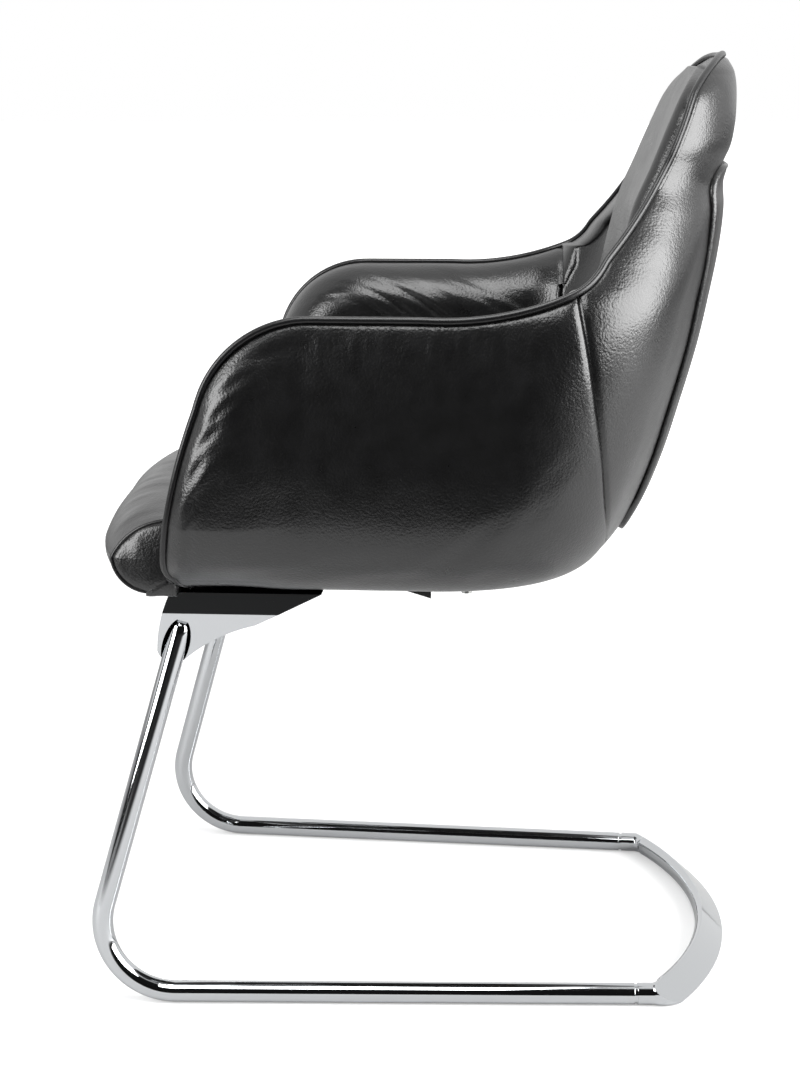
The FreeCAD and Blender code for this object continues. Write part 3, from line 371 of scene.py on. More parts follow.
# %% [markdown]
# ## Creases
# Leather over foam isn't smooth. A crease is a shallow valley with a soft ridge beside it,
# placed on a panel by two coordinates, an angle, a length and a depth.

# %% Creases on a panel
def creases(a, b, marks):
    """The height that the marks add. Each is a, b, angle, length, width and depth in mm."""
    height = np.zeros_like(a)
    for mark_a, mark_b, angle, length, width, depth in marks:
        turn = math.radians(angle)
        along = (a - mark_a * MM) * math.cos(turn) + (b - mark_b * MM) * math.sin(turn)
        across = (b - mark_b * MM) * math.cos(turn) - (a - mark_a * MM) * math.sin(turn)
        across = across + 0.15 * along ** 2 / (length * MM)
        fade = np.exp(-(along / (0.5 * length * MM)) ** 2)
        slot = across / (width * MM)
        height += depth * MM * fade * (0.6 * np.exp(-(slot - 1.3) ** 2) - np.exp(-slot ** 2))
    return height


def upholstered(grid, outward, borders, swell, tuck, wrinkles=0.0):
    """The grid swollen over its foam and drawn in along its seams."""
    near = border_distance(grid, borders)
    rise = swell * MM * (1 - np.exp(-near / (22 * MM))) - tuck * MM * np.exp(-(near / (3.5 * MM)) ** 2)
    return grid + ways_out(grid, outward) * (rise + wrinkles)[..., None]


# %% [markdown]
# ## The outer side panels
# Each side is one piece of leather over foam and board. Each row of its grid climbs from
# the bottom edge to the piped edge, and the last row follows the leaning seam.

# %% Side panels
def side_panel_grid():
    rows, columns = 260, 150
    top = even_points(arm_edge, rows)
    share = np.linspace(0, 1, rows)[:, None]
    rise = np.linspace(0, 1, columns)[None, :]
    top_v = shell.at_height(top[:, 1])[:, None]
    v = top_v * rise
    start, end = arm_edge[0, 0], float(seam_y(np.array(0.0)))
    base_y = start + (end - start) * share ** 1.3
    y = base_y + (top[:, :1] - base_y) * rise
    y = y + share ** 3 * (seam_y(top_v[-1] * rise) - y[-1:])
    return shell.point(v, shell.reach(v, y))


def side_creases(grid):
    """Fans of creases at the arm's front, below the piping and above the rear foot."""
    y, z = grid[..., 1], grid[..., 2]
    marks = [(-188, 500, 62, 34, 5, 1.1), (-182, 530, 58, 40, 5, 1.2), (-172, 556, 50, 42, 5, 1.2),
             (-160, 580, 46, 40, 5, 1.1), (-150, 602, 38, 40, 5, 1.0), (-192, 470, 66, 30, 5, 0.9),
             (-120, 628, 20, 50, 6, 0.7), (-196, 446, 70, 30, 6, 0.8), (-166, 520, 52, 46, 7, 0.7),
             (60, 470, 38, 70, 9, 0.5), (86, 452, 40, 80, 10, 0.5), (104, 486, 42, 60, 9, 0.5),
             (20, 440, 30, 70, 9, 0.6), (-60, 440, 12, 90, 10, 0.5), (120, 520, 50, 60, 10, 0.5),
             (-130, 430, 4, 80, 9, 0.5), (-30, 424, 8, 90, 8, 0.5), (70, 430, 24, 60, 8, 0.4)]
    height = creases(y, z, marks)
    below_edge = np.exp(-((ARM - 0.016 - z) / 0.016) ** 2) * (y > -0.08) * (y < 0.12)
    flutes = soft_noise(y / 0.006, z / 0.030, 3)
    waves = soft_noise(y / 0.055, z / 0.045, 4)
    return height + 0.45 * MM * flutes * below_edge + 0.9 * MM * waves


def root_piece(piece, slot, *replaced):
    """Puts a piece on the chair's one body, in place of the solids named."""
    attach(piece, "root")
    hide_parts(*replaced)
    measured(piece)


def leather_piece(name, grid, outward, depth, node):
    """A sheet of leather of that depth, which grows inwards from the grid."""
    piece = mesh_of(name, grid, outward)
    solid = piece.modifiers.new("leather_thickness", "SOLIDIFY")
    solid.thickness = depth
    solid.offset = -1
    root_piece(piece, "leather", node)
    return piece


OUTER_LEATHER = 4 * MM
LINED_LEATHER = 5 * MM
PADDED_LEATHER = 6 * MM
FRONT_ROLL = 0.012
ROLL_WIDTH = 0.050
ROLL_START = -0.090
ROLL_RUN = 0.070
panel = side_panel_grid()


def front_roll(grid):
    """How far the padded front of the arm stands out, from the piping inwards."""
    near = np.clip(border_distance(grid, ["last_column"]) / ROLL_WIDTH, 0, 1)
    ahead = np.clip((ROLL_START - grid[..., 1]) / ROLL_RUN, 0, 1)
    above = np.clip((grid[..., 2] - LOW - 0.020) / 0.060, 0, 1)
    return FRONT_ROLL * (1 - (1 - near) ** 2) * ahead ** 2 * (3 - 2 * ahead) * above


roll = front_roll(panel)
relief = roll + side_creases(panel)
panel = upholstered(panel, -1, ["last_row", "last_column"], 1.5, 1.8, relief)
print("the arm's front stands out by", round(float(roll.max()) / MM, 1), "mm")
leather_piece("side_panel_leather_left", panel, -1, OUTER_LEATHER, "side_panel_left")
leather_piece("side_panel_leather_right", mirrored(panel), 1, OUTER_LEATHER, "side_panel_right")

# %% [markdown]
# ## The outer back
# Rows climb from under the seat to the crest, from one seam round the rear to the other.
# Above the arms the piped edge takes the seam's place.

# %% Back skin
def back_skin_grid():
    rows, columns = 260, 240
    v = np.linspace(0, 1, rows)[:, None]
    height = shell.level(v)[0]
    side_y = np.where(height < back_edge[0, 1], seam_y(v),
                      np.interp(height, back_edge[:, 1], back_edge[:, 0]))
    reach = shell.reach(v, side_y)
    share = np.linspace(1, -1, columns)[None, :]
    return shell.point(v + 0 * share, reach * share)


def back_creases(grid):
    side, z = np.abs(grid[..., 0]), grid[..., 2]
    broad = 0.8 * MM * soft_noise(side / 0.06, z / 0.07, 8)
    return broad + 0.25 * MM * soft_noise(side / 0.02, z / 0.03, 9)


back_skin = back_skin_grid()
back_skin = upholstered(back_skin, 1, ["first_column", "last_column", "last_row"], 1.5, 1.8,
                        back_creases(back_skin))
leather_piece("back_leather", back_skin, 1, OUTER_LEATHER, "back_skin")

# %% [markdown]
# A thin padded cover lies on the outer back. Its outline has a round top and narrows
# towards the foot.

# %% Back cover
COVER_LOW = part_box("back_cover")[0].z
COVER_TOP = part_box("back_cover")[1].z
COVER_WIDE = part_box("back_cover")[1].x
COVER_TAPER = 0.032
LOW_ROUND = 0.030
TOP_ROUND = 0.045
COVER_RIM = 0.006
COVER_LIFT = 0.0055
COVER_GAP = 0.0012
STITCH_INSET = 0.012
STITCH_DEPTH = 0.0007


def cover_half_width(share):
    """Half width of the cover from its foot, share 0, to its top, share 1."""
    straight = COVER_WIDE - COVER_TAPER * (1 - share)
    rise = share * (COVER_TOP - COVER_LOW)
    low = np.clip(1 - rise / LOW_ROUND, 0, 1)
    top = np.clip(1 - (COVER_TOP - COVER_LOW - rise) / TOP_ROUND, 0, 1)
    rounded = LOW_ROUND * (1 - np.sqrt(1 - low ** 2)) + TOP_ROUND * (1 - np.sqrt(1 - top ** 2))
    return straight - rounded


def cover_grid():
    rows, columns = 140, 90
    turn = np.linspace(0, math.pi, rows)
    share = ((1 - np.cos(turn)) / 2)[:, None]
    height = COVER_LOW + share * (COVER_TOP - COVER_LOW)
    v = shell.at_height(height)
    across = np.sin(np.linspace(math.pi / 2, -math.pi / 2, columns))[None, :]
    base = shell.point(v + 0 * across, cover_half_width(share) * across)
    way = ways_out(base, 1)
    near = border_distance(base, ["first_row", "last_row", "first_column", "last_column"])
    rim = np.clip(near / COVER_RIM, 0, 1)
    lift = COVER_LIFT * np.sqrt(1 - (1 - rim) ** 2) + 0.001 * (1 - np.exp(-near / 0.03))
    stitch = -STITCH_DEPTH * np.exp(-((near - STITCH_INSET) / 0.0012) ** 2)
    return base + way * (lift + stitch + COVER_GAP)[..., None]


leather_piece("back_cover_leather", cover_grid(), 1, LINED_LEATHER, "back_cover")

# %% [markdown]
# ## The arms
# The arm's pad starts at the piping, rolls over the top and comes down the inner face to
# the seat. Its rows fan out round the front corner. One grid keeps the leather unbroken.

# %% Arm pads
ROLL_DEPTH = 0.046
EDGE_INSET = 0.0015


def arm_pad_grid():
    rows, roll_columns, face_columns = 240, 40, 80
    inner_end = edge[edge[:, 0] <= INNER_SEAM_Y]
    top = even_points(inner_end, rows)
    share = np.linspace(0, 1, rows)[:, None]
    foot = np.array([-0.160, 0.412]) + share * np.array([INNER_SEAM_Y + 0.160, 0.030])
    run = np.linalg.norm(foot - top, axis=1, keepdims=True)
    roll = np.minimum(ROLL_DEPTH / run, 0.8)
    turn = np.linspace(0, math.pi / 2, roll_columns)[None, :]
    down = np.linspace(0, 1, face_columns)[None, 1:]
    depth = np.concatenate([roll * (1 - np.cos(turn)), roll + (1 - roll) * down], axis=1)
    spots = top[:, None] + (foot - top)[:, None] * depth[..., None]
    inner_x = cavity.on_side(spots[..., 0], spots[..., 1])[..., 0]
    outer_x = shell.on_side(top[:, 0], top[:, 1])[:, :1] - EDGE_INSET
    over = np.concatenate([np.sin(turn) + 0 * roll, 1 + 0 * (roll * down)], axis=1)
    x = outer_x + (inner_x - outer_x) * over
    return np.stack([x, spots[..., 0], spots[..., 1]], axis=-1)


def arm_creases(grid):
    """Upright folds on the inner face, deepest just below the roll."""
    run = lengths(grid, 0)
    depth = lengths(grid, 1)
    window = np.exp(-((depth - 0.095) / 0.040) ** 2)
    sway = 0.006 * soft_noise(run / 0.05, depth / 0.05, 21)
    folds = soft_noise((run + sway + 0.10 * depth) / 0.0120, depth / 0.075, 22)
    broad = soft_noise((run + sway) / 0.045, depth / 0.09, 23)
    return 1.7 * MM * folds * window + 1.2 * MM * broad * np.clip(depth / 0.04, 0, 1)


arm_pad = arm_pad_grid()
arm_pad = upholstered(arm_pad, -1, ["first_column"], 1.0, 1.0, arm_creases(arm_pad))
arm_rear_tuck = border_distance(arm_pad, ["last_row"])
arm_rear_tuck = 2.5 * MM * np.exp(-(arm_rear_tuck / (5 * MM)) ** 2)
arm_pad = arm_pad - ways_out(arm_pad, -1) * arm_rear_tuck[..., None]
for side, grid, outward in (("left", arm_pad, -1), ("right", mirrored(arm_pad), 1)):
    piece = leather_piece("arm_pad_leather_" + side, grid, outward, PADDED_LEATHER, "arm_pad_" + side)

# %% [markdown]
# ## The inner back
# The lining rolls in from the piped edge and then follows the cavity. A raised cushion
# stands out of it, with a round edge along its sides and top.

# %% Back lining
LINING_LOW = 0.430
LINING_ROLL = 0.016


def lining_grid():
    rows, roll_columns, face_columns = 200, 16, 60
    height = np.linspace(LINING_LOW, TOP, rows)[:, None]
    below = height < back_edge[0, 1]
    side_y = np.where(below, INNER_SEAM_Y - 0.002,
                      np.interp(height, back_edge[:, 1], back_edge[:, 0]))
    arm_end = arm_pad_grid()[-1, ::-1]
    arm_x = np.interp(height, arm_end[:, 2], arm_end[:, 0])
    outer = shell.on_side(side_y, height).copy()
    outer[..., 0] = np.where(below, arm_x - 0.001, outer[..., 0] - EDGE_INSET)
    roll = LINING_ROLL * np.clip((height - ARM + 0.026) / 0.03, 0, 1)
    v = cavity.at_height(height)
    start = cavity.reach(v, side_y + roll)
    inner = cavity.point(v, start)
    turn = np.linspace(0, math.pi / 2, roll_columns)[None, :, None]
    across = outer + (inner - outer) * np.where(np.arange(3) == 0, np.sin(turn), 1 - np.cos(turn))
    face = cavity.point(v, start * np.linspace(1, 0, face_columns)[None, 1:])
    left = np.concatenate([across, face], axis=1)
    return np.concatenate([left, mirrored(left[:, -2::-1])], axis=1)


lining = lining_grid()
lining = upholstered(lining, -1, ["first_column", "last_column"], 0.0, 1.0,
                     0.5 * MM * soft_noise(lining[..., 0] / 0.05, lining[..., 2] / 0.05, 31))
lining_piece = leather_piece("back_lining_leather", lining, -1, LINED_LEATHER, "back_lining")

# %% Back cushion
PAD_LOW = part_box("back_cushion")[0].z
PAD_TOP = TOP - 0.011
PAD_RISE = 0.015
PAD_RIM = 0.016
PAD_CROWN = 0.004
PAD_SHOULDER = 0.030
PAD_SINK = 0.002


def pad_half_width(height):
    """Half width of the raised cushion at each height."""
    heights = ARM + MM * np.array([-200, -110, -30, 44, 84])
    heights = np.concatenate([heights, TOP - MM * np.array([103, 63, 38, 24, 15])])
    widths = MM * np.array([176, 180, 178, 170, 164, 160, 153, 146, 130, 106])
    return smooth(heights, widths, np.minimum(height, heights[-1]))


def back_cushion_grid():
    rows, columns = 220, 170
    turn = np.linspace(0, math.pi / 2, rows)
    height = (PAD_LOW + (PAD_TOP - PAD_LOW) * np.sin(turn))[:, None]
    across = np.sin(np.linspace(math.pi / 2, -math.pi / 2, columns))[None, :]
    shoulder = np.clip((height - (PAD_TOP - PAD_SHOULDER)) / PAD_SHOULDER, 0, 1)
    half = pad_half_width(height) * (1 - 0.35 * (1 - np.sqrt(1 - shoulder ** 2)))
    base = cavity.point(cavity.at_height(height) + 0 * across, half * across)
    near = border_distance(base, ["last_row", "first_column", "last_column"])
    rim = np.clip(near / PAD_RIM, 0, 1)
    rise = PAD_RISE * np.sqrt(1 - (1 - rim) ** 2) + PAD_CROWN * (1 - np.exp(-near / 0.05))
    waves = 1.0 * MM * soft_noise(base[..., 0] / 0.05, base[..., 2] / 0.06, 41)
    return base + ways_out(base, -1) * (rise + waves * rim - PAD_SINK)[..., None]


back_cushion = leather_piece("back_cushion_leather", back_cushion_grid(), -1, PADDED_LEATHER, "back_cushion")

# %% [markdown]
# ## The seat
# The seat is one long roll: a round nose hangs over the board, the crowned top runs back
# between the arms, and end caps close the nose on both sides.

# %% Seat cushion
SEAT_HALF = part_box("seat_cushion")[1].x
SEAT_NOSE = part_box("seat_cushion")[0].y
SEAT_SWEEP = 0.031
SEAT_EDGE = 0.466
SEAT_CROWN = 0.016
SEAT_REAR = 0.150
SEAT_REAR_DROP = 0.022
CAP_DEPTH = 0.009
BOARD_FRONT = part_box("seat_board")[0].y
BOARD_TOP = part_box("seat_board")[1].z
# The leather wraps the board and ends this far behind the board's front edge
WRAP = 0.020
CAP_CENTRE = -0.190


def seat_profile(across, inset=0.0):
    """Points y, z round the cushion's section, from under the nose to the rear."""
    share = abs(across) / SEAT_HALF
    nose = SEAT_NOSE + SEAT_SWEEP * share ** 4 + inset
    top = SEAT_EDGE + SEAT_CROWN * (1 - share ** 2) - inset
    bottom = LOW + 0.004 + inset
    waist = bottom + (top - bottom) * 0.48
    under = arc_points((nose + 0.030, bottom), (nose + 0.008, bottom + 0.012), (nose, waist), 40)
    over = arc_points((nose, waist), (nose + 0.017, top - 0.013), (nose + 0.062, top), 60)
    rear_top = top - SEAT_REAR_DROP
    middle = ((nose + 0.062 + SEAT_REAR) / 2 - 0.040, top + 0.002)
    crown = arc_points((nose + 0.062, top), middle, (SEAT_REAR, rear_top), 70)
    wrap = BOARD_FRONT + WRAP
    below = LOW - 0.0005
    turns = [(SEAT_REAR, rear_top), (SEAT_REAR, BOARD_TOP), (wrap, BOARD_TOP), (wrap, below),
             (BOARD_FRONT - 0.008, below), (nose + 0.030, bottom)]
    floor = [even_points(np.array(pair), 12)[1:] for pair in zip(turns, turns[1:])]
    return np.concatenate([under, over[1:], crown[1:]] + floor)[:-1]


def seat_grid():
    """Sections from side to side. The last ones shrink to close each end cap."""
    body = np.linspace(-1, 1, 141) * (SEAT_HALF - CAP_DEPTH)
    profiles = np.array([seat_profile(across) for across in body])
    across = np.broadcast_to(body[:, None, None], profiles[..., :1].shape)
    rows = np.concatenate([across, profiles], axis=2)
    share = np.linspace(0, 1, 26)[1:, None, None]
    centre = np.array([body[-1], CAP_CENTRE, (SEAT_EDGE + LOW) / 2])
    caps = centre + (rows[-1] - centre) * (1 - share) ** 0.9
    caps[..., :1] = body[-1] + CAP_DEPTH * np.sqrt(1 - (1 - share) ** 2)
    return np.concatenate([mirrored(caps)[::-1], rows, caps])


def seat_creases(grid):
    x, y, z = np.moveaxis(grid, -1, 0)
    top = np.clip((z - 0.44) / 0.02, 0, 1)
    broad = soft_noise(x / 0.06, y / 0.06, 51)
    cap = (np.abs(x) > SEAT_HALF - CAP_DEPTH - 0.001) * soft_noise(y / 0.010, z / 0.03, 53)
    fine = soft_noise(x / 0.012, y / 0.045, 52) * np.exp(-((y + 0.26) / 0.03) ** 2)
    return 1.4 * MM * broad * top + 0.7 * MM * fine + 0.6 * MM * cap


def inside_bucket(grid):
    """Behind the board's edge the cushion lies on the board and between the arms."""
    x, y, z = np.moveaxis(grid, -1, 0)
    z = np.where(y > BOARD_FRONT + WRAP + 0.001, np.maximum(z, BOARD_TOP), z)
    limit = cavity.on_side(np.maximum(y, ARM_FRONT), z)[..., 0] + 0.004
    x = np.where((y > ARM_FRONT) & (z > BOARD_TOP - 0.001),
                 np.sign(x) * np.minimum(np.abs(x), limit), x)
    return np.stack([x, y, z], axis=-1)


seat = seat_grid()
seat = inside_bucket(seat + ways_out(seat, -1) * seat_creases(seat)[..., None])
seat_piece = mesh_of("seat_cushion_leather", seat, -1, wrap=True)
root_piece(seat_piece, "leather", "seat_cushion")

# %% [markdown]
# ## Piping
# A thin cord in its own leather runs along every edge. The long one goes from the left
# arm's foot over the top of the back to the right arm's foot.

# %% Piping cords
PIPING_RADIUS = 0.003
PROUD = 0.0018
WELT_RADIUS = 0.0022
WELT_POINTS = 104


def long_piping():
    shown = edge[edge[:, 1] <= TOP - 0.006]
    left = shell.on_side(shown[:, 0], shown[:, 1])
    left[:, 0] += PROUD
    left[:, 2] += PROUD * 0.5
    last = left[-1]
    crest = TOP + PROUD
    extra = np.array([
        [last[0] - 0.020, last[1] + 0.005, (last[2] + 2 * crest) / 3],
        [last[0] - 0.046, last[1] + 0.010, crest],
        [0.030, last[1] + 0.013, crest],
        [0.0, last[1] + 0.013, crest]])
    left = np.concatenate([left[::6], extra])
    line = np.concatenate([left, mirrored(left[-2::-1])])
    steps = np.linalg.norm(np.diff(line, axis=0), axis=1)
    knots = np.concatenate([[0.0], np.cumsum(steps)])
    return smooth(knots, line, np.linspace(0, knots[-1], 900))


def cord_piece(name, line, radius, node):
    root_piece(mesh_of(name, tube_grid(line, radius), wrap=True), "piping", node)


def seat_welt_line(side):
    across = SEAT_HALF - CAP_DEPTH
    profile = seat_profile(across)[:WELT_POINTS]
    return np.column_stack([np.full(len(profile), side * across), profile])


cord_piece("edge_piping_cord", long_piping(), PIPING_RADIUS, "edge_piping")
for side, name in ((1, "left"), (-1, "right")):
    cord_piece("seat_welt_cord_" + name, seat_welt_line(side), WELT_RADIUS, "seat_welt_" + name)

# %% [markdown]
# ## The base
# Each side of the base is one steel tube, bent cold round a die, so its curve is even and
# its wall stays round. A curve object with a round bevel could draw it. Rings swept along
# the centre line do the same and can stand closer where the grub screws sit.

# %% Side tubes
TUBE_RADIUS = 0.010
TUBE_SIDES = 72
GRUB_RADIUS = 0.003
GRUB_DEPTH = 0.001
GRUB_REACH = 0.014
GRUB_INSET = 0.007
RUNNER = 0.525
UPRIGHT = 0.376
UPRIGHT_TURN = math.radians(180 - 74)
BEND_RADIUS = 0.068
QUARTER = math.pi / 2
TUBE_CORNER = np.array([0.227, -0.3174, TUBE_RADIUS])
TOE_IN = math.radians(3.1)
LEAN_IN = math.radians(3.3)
tube_plane = Matrix.Rotation(QUARTER + TOE_IN, 3, "Z") @ Matrix.Rotation(QUARTER - LEAN_IN, 3, "X")
tube_turn = np.array(tube_plane)


def in_tube_plane(along, up):
    """Points of the left tube's plane, along its runner and up from the corner."""
    along, up = np.broadcast_arrays(np.asarray(along, dtype=float), up)
    return TUBE_CORNER + np.stack([along, up, 0 * along], axis=-1) @ tube_turn.T


def tube_line():
    """The centre line: along the runner, round the bend and up to the bracket."""
    tangent = BEND_RADIUS * math.tan(UPRIGHT_TURN / 2)
    near_screw = np.linspace(RUNNER, RUNNER - 0.022, 45)
    runner = np.concatenate([near_screw, np.linspace(RUNNER - 0.03, tangent, 24)])
    turn = -QUARTER - np.linspace(0, UPRIGHT_TURN, 60)[1:]
    run = np.linspace(tangent, UPRIGHT, 20)[1:]
    along = np.concatenate([runner, tangent + BEND_RADIUS * np.cos(turn), -run * math.cos(UPRIGHT_TURN)])
    up = np.concatenate([0 * runner, BEND_RADIUS * (1 + np.sin(turn)), run * math.sin(UPRIGHT_TURN)])
    return in_tube_plane(along, up)


def pocketed(grid, distance):
    """Presses a round pocket into the underside, so that a grub screw's end shows."""
    spot = in_tube_plane(distance, 0.0)
    near = np.hypot(np.abs(grid[..., 0]) - spot[0], grid[..., 1] - spot[1]) < GRUB_RADIUS
    under = grid[..., 2] < TUBE_RADIUS / 2
    grid[..., 2] = np.where(near & under, GRUB_DEPTH, grid[..., 2])
    return grid


side_tube = pocketed(tube_grid(tube_line(), TUBE_RADIUS, TUBE_SIDES), RUNNER - GRUB_REACH)
for side, grid in (("left", side_tube), ("right", mirrored(side_tube))):
    piece = mesh_of("side_tube_steel_" + side, grid, wrap=True)
    root_piece(piece, "chrome", "side_tube_" + side)

# %% [markdown]
# A thin ring closes each joint. Its radius is 1 mm smaller than the tube's, so it reads as
# a fine dark groove between the runner and the bow.

# %% Joint rings
RING_END = RUNNER + 0.003
RING_GROOVE = 0.001
ring_line = in_tube_plane(np.linspace(RUNNER, RING_END, 4), 0.0)
ring = tube_grid(ring_line, TUBE_RADIUS - RING_GROOVE, TUBE_SIDES)
for side, grid in (("left", ring), ("right", mirrored(ring))):
    piece = mesh_of("joint_ring_steel_" + side, grid, wrap=True, crease_angle=40)
    root_piece(piece, "chrome", "joint_ring_" + side)

# %% [markdown]
# The rear bow is a heavy bar, milled with a flat facet along its upper outer side. It
# starts as round as the tubes and grows into its broad foot round a tight corner. Lofted
# sections draw it, and the facet is a height that no point may pass.

# %% Rear bow
BOW_RADIUS = 0.386
BOW_TURN = 0.020
BOW_HEIGHT = 0.022
BOW_HALF = 0.014
BOW_LIP = 0.002
FACET_SLOPE = 1.1
ROUND_EDGE = 0.0095
STRAIGHT_ROWS = 32
CORNER_ROWS = 39
ARC_ROWS = 99
bow_centre = np.array([0.0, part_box("rear_bow")[1].y - BOW_RADIUS])


def bow_rows():
    """Place, outward way and blend of each section, from the left joint to the right."""
    start = in_tube_plane(RING_END, 0.0)[:2]
    ahead = in_tube_plane(RING_END + 1.0, 0.0)[:2] - start
    inward = np.array([-ahead[1], ahead[0]])
    offset = start + inward * BOW_TURN - bow_centre
    reach = BOW_RADIUS - BOW_HALF - BOW_TURN
    along = -offset @ ahead + math.sqrt((offset @ ahead) ** 2 - offset @ offset + reach ** 2)
    turn_centre = start + inward * BOW_TURN + ahead * along
    first = math.atan2(-inward[1], -inward[0])
    last = math.atan2(*(turn_centre - bow_centre)[::-1])
    steps = np.linspace(0, 1, CORNER_ROWS + 1)[1:]
    bend_end = STRAIGHT_ROWS + CORNER_ROWS
    corner = first + (last - first) * steps
    arc = np.linspace(last, QUARTER, ARC_ROWS + 1)[1:]
    angle = np.concatenate([np.full(STRAIGHT_ROWS, first), corner, arc])
    outward = np.stack([np.cos(angle), np.sin(angle)], axis=1)
    place = np.concatenate([
        start + ahead * np.linspace(0, along, STRAIGHT_ROWS)[:, None],
        turn_centre + BOW_TURN * outward[STRAIGHT_ROWS:bend_end],
        bow_centre + (BOW_RADIUS - BOW_HALF) * outward[bend_end:]])
    blend = np.concatenate([np.zeros(STRAIGHT_ROWS), steps, np.ones(ARC_ROWS)])
    mirror = np.array([-1.0, 1.0])
    return (np.concatenate([place, mirror * place[-2::-1]]),
            np.concatenate([outward, mirror * outward[-2::-1]]),
            np.concatenate([blend, blend[-2::-1]])[:, None])


def bow_outline(blend):
    """Across and up at each point round the bar, before the facet."""
    half = TUBE_RADIUS + (BOW_HALF - TUBE_RADIUS) * blend
    height = 2 * TUBE_RADIUS + (BOW_HEIGHT - 2 * TUBE_RADIUS) * blend
    inner = ROUND_EDGE - 0.0005 * blend
    outer = ROUND_EDGE + (BOW_LIP - ROUND_EDGE) * blend
    turn = np.linspace(0, QUARTER, 14)
    arcs = []
    corners = ((1, 0, outer, -1), (1, 1, outer, 0), (-1, 1, inner, 1), (-1, 0, inner, 2))
    for side, top, radius, quarters in corners:
        angle = quarters * QUARTER + turn
        centre_up = top * height + (1 - 2 * top) * radius
        arcs.append(np.stack([side * (half - radius) + radius * np.cos(angle),
                              centre_up + radius * np.sin(angle)], axis=-1))
    parts = []
    for index, arc in enumerate(arcs):
        share = np.linspace(0, 1, (10, 44, 10, 10)[index])[1:-1, None]
        following = arcs[(index + 1) % 4][:, :1]
        parts += [arc, arc[:, -1:] + (following - arc[:, -1:]) * share]
    return np.moveaxis(np.concatenate(parts, axis=1), -1, 0)


def bow_grid():
    place, outward, blend = bow_rows()
    across, up = bow_outline(blend)
    spots = place[:, None] + across[..., None] * outward[:, None]
    radius = np.linalg.norm(spots - bow_centre, axis=-1)
    up = np.minimum(up, BOW_LIP + (BOW_RADIUS - radius) / FACET_SLOPE)
    grid = np.concatenate([spots, up[..., None]], axis=-1)
    first, last = (np.repeat(row.mean(axis=0)[None, None], grid.shape[1], axis=1)
                   for row in (grid[0], grid[-1]))
    return np.concatenate([first, grid, last])


bow = mesh_of("rear_bow_steel", pocketed(bow_grid(), RING_END + GRUB_INSET), wrap=True, crease_angle=25)
root_piece(bow, "chrome", "rear_bow")

# %% [markdown]
# The brackets stay as the frame holds them. A small bevel rounds their edges, as the sand
# mould and the polishing wheel leave them.

# %% Bracket edges
for name in ("bracket_left", "bracket_right"):
    bevel = frame["nodes"][name].modifiers.new("polished_edges", "BEVEL")
    bevel.width = 0.0010
    bevel.segments = 2
    bevel.limit_method = "ANGLE"
    bevel.angle_limit = math.radians(35)
    print(name, "keeps its shape, with edges rounded to", bevel.width, "m")

# %% [markdown]
# ## Materials
# Each material is named for the real one. Patterns read the object's own coordinates, so
# a scale of 1 / size gives that size in the real leather, steel or cloth.

# %% Node helper
def colour(code):
    """A colour written as six sRGB digits, turned into linear light."""
    parts = [int(code[at:at + 2], 16) / 255 for at in (0, 2, 4)]
    linear = [part / 12.92 if part <= 0.04045 else ((part + 0.055) / 1.055) ** 2.4 for part in parts]
    return (*linear, 1.0)


def new_material(name):
    material = bpy.data.materials.new(name)
    material.use_nodes = True
    tree = material.node_tree
    return material, tree, tree.nodes["Principled BSDF"]


def add(tree, kind, settings=None, **inputs):
    """Adds a node. Inputs are numbers, colours or the sockets that feed them."""
    item = tree.nodes.new(kind)
    for name, value in (settings or {}).items():
        setattr(item, name, value)
    for name, value in inputs.items():
        socket = item.inputs[int(name[1:])] if name[1:].isdigit() else item.inputs[name.replace("_", " ")]
        if isinstance(value, bpy.types.NodeSocket):
            tree.links.new(value, socket)
        else:
            socket.default_value = value
    return item


def object_point(tree):
    return add(tree, "ShaderNodeTexCoord").outputs["Object"]


def feed(tree, shader, name, socket):
    tree.links.new(socket, shader.inputs[name])


# %% Leather
def grained_leather():
    """Black leather with a pebbled grain and fine creases between the pebbles. The real
    pebbles are about 1.5 mm wide and are drawn at 2 mm, so that they show from afar."""
    material, tree, shader = new_material("black_grained_leather")
    point = object_point(tree)
    pebbles = add(tree, "ShaderNodeTexVoronoi", {"feature": "SMOOTH_F1"},
                  Vector=point, Scale=1 / 0.0020, Smoothness=0.6)
    veins = add(tree, "ShaderNodeTexVoronoi", {"feature": "DISTANCE_TO_EDGE"},
                Vector=point, Scale=1 / 0.0060)
    warp = add(tree, "ShaderNodeTexNoise", Vector=point, Scale=1 / 0.020, Detail=4.0)
    vein_depth = add(tree, "ShaderNodeMapRange", Value=veins.outputs["Distance"],
                     From_Max=0.25, To_Max=0.35)
    relief = add(tree, "ShaderNodeMath", {"operation": "SUBTRACT"},
                 _0=vein_depth.outputs[0], _1=pebbles.outputs["Distance"])
    relief = add(tree, "ShaderNodeMath", {"operation": "ADD"},
                 _0=relief.outputs[0], _1=warp.outputs["Fac"])
    bump = add(tree, "ShaderNodeBump", Height=relief.outputs[0], Strength=0.26, Distance=0.0006)
    feed(tree, shader, "Normal", bump.outputs["Normal"])
    gloss = add(tree, "ShaderNodeMapRange", Value=warp.outputs["Fac"], To_Min=0.24, To_Max=0.35)
    feed(tree, shader, "Roughness", gloss.outputs[0])
    shade = add(tree, "ShaderNodeMix", {"data_type": "RGBA"}, Factor=warp.outputs["Fac"])
    shade.inputs[6].default_value = colour("060606")
    shade.inputs[7].default_value = colour("0b0b0c")
    feed(tree, shader, "Base Color", shade.outputs[2])
    shader.inputs["Specular IOR Level"].default_value = 0.7
    return material


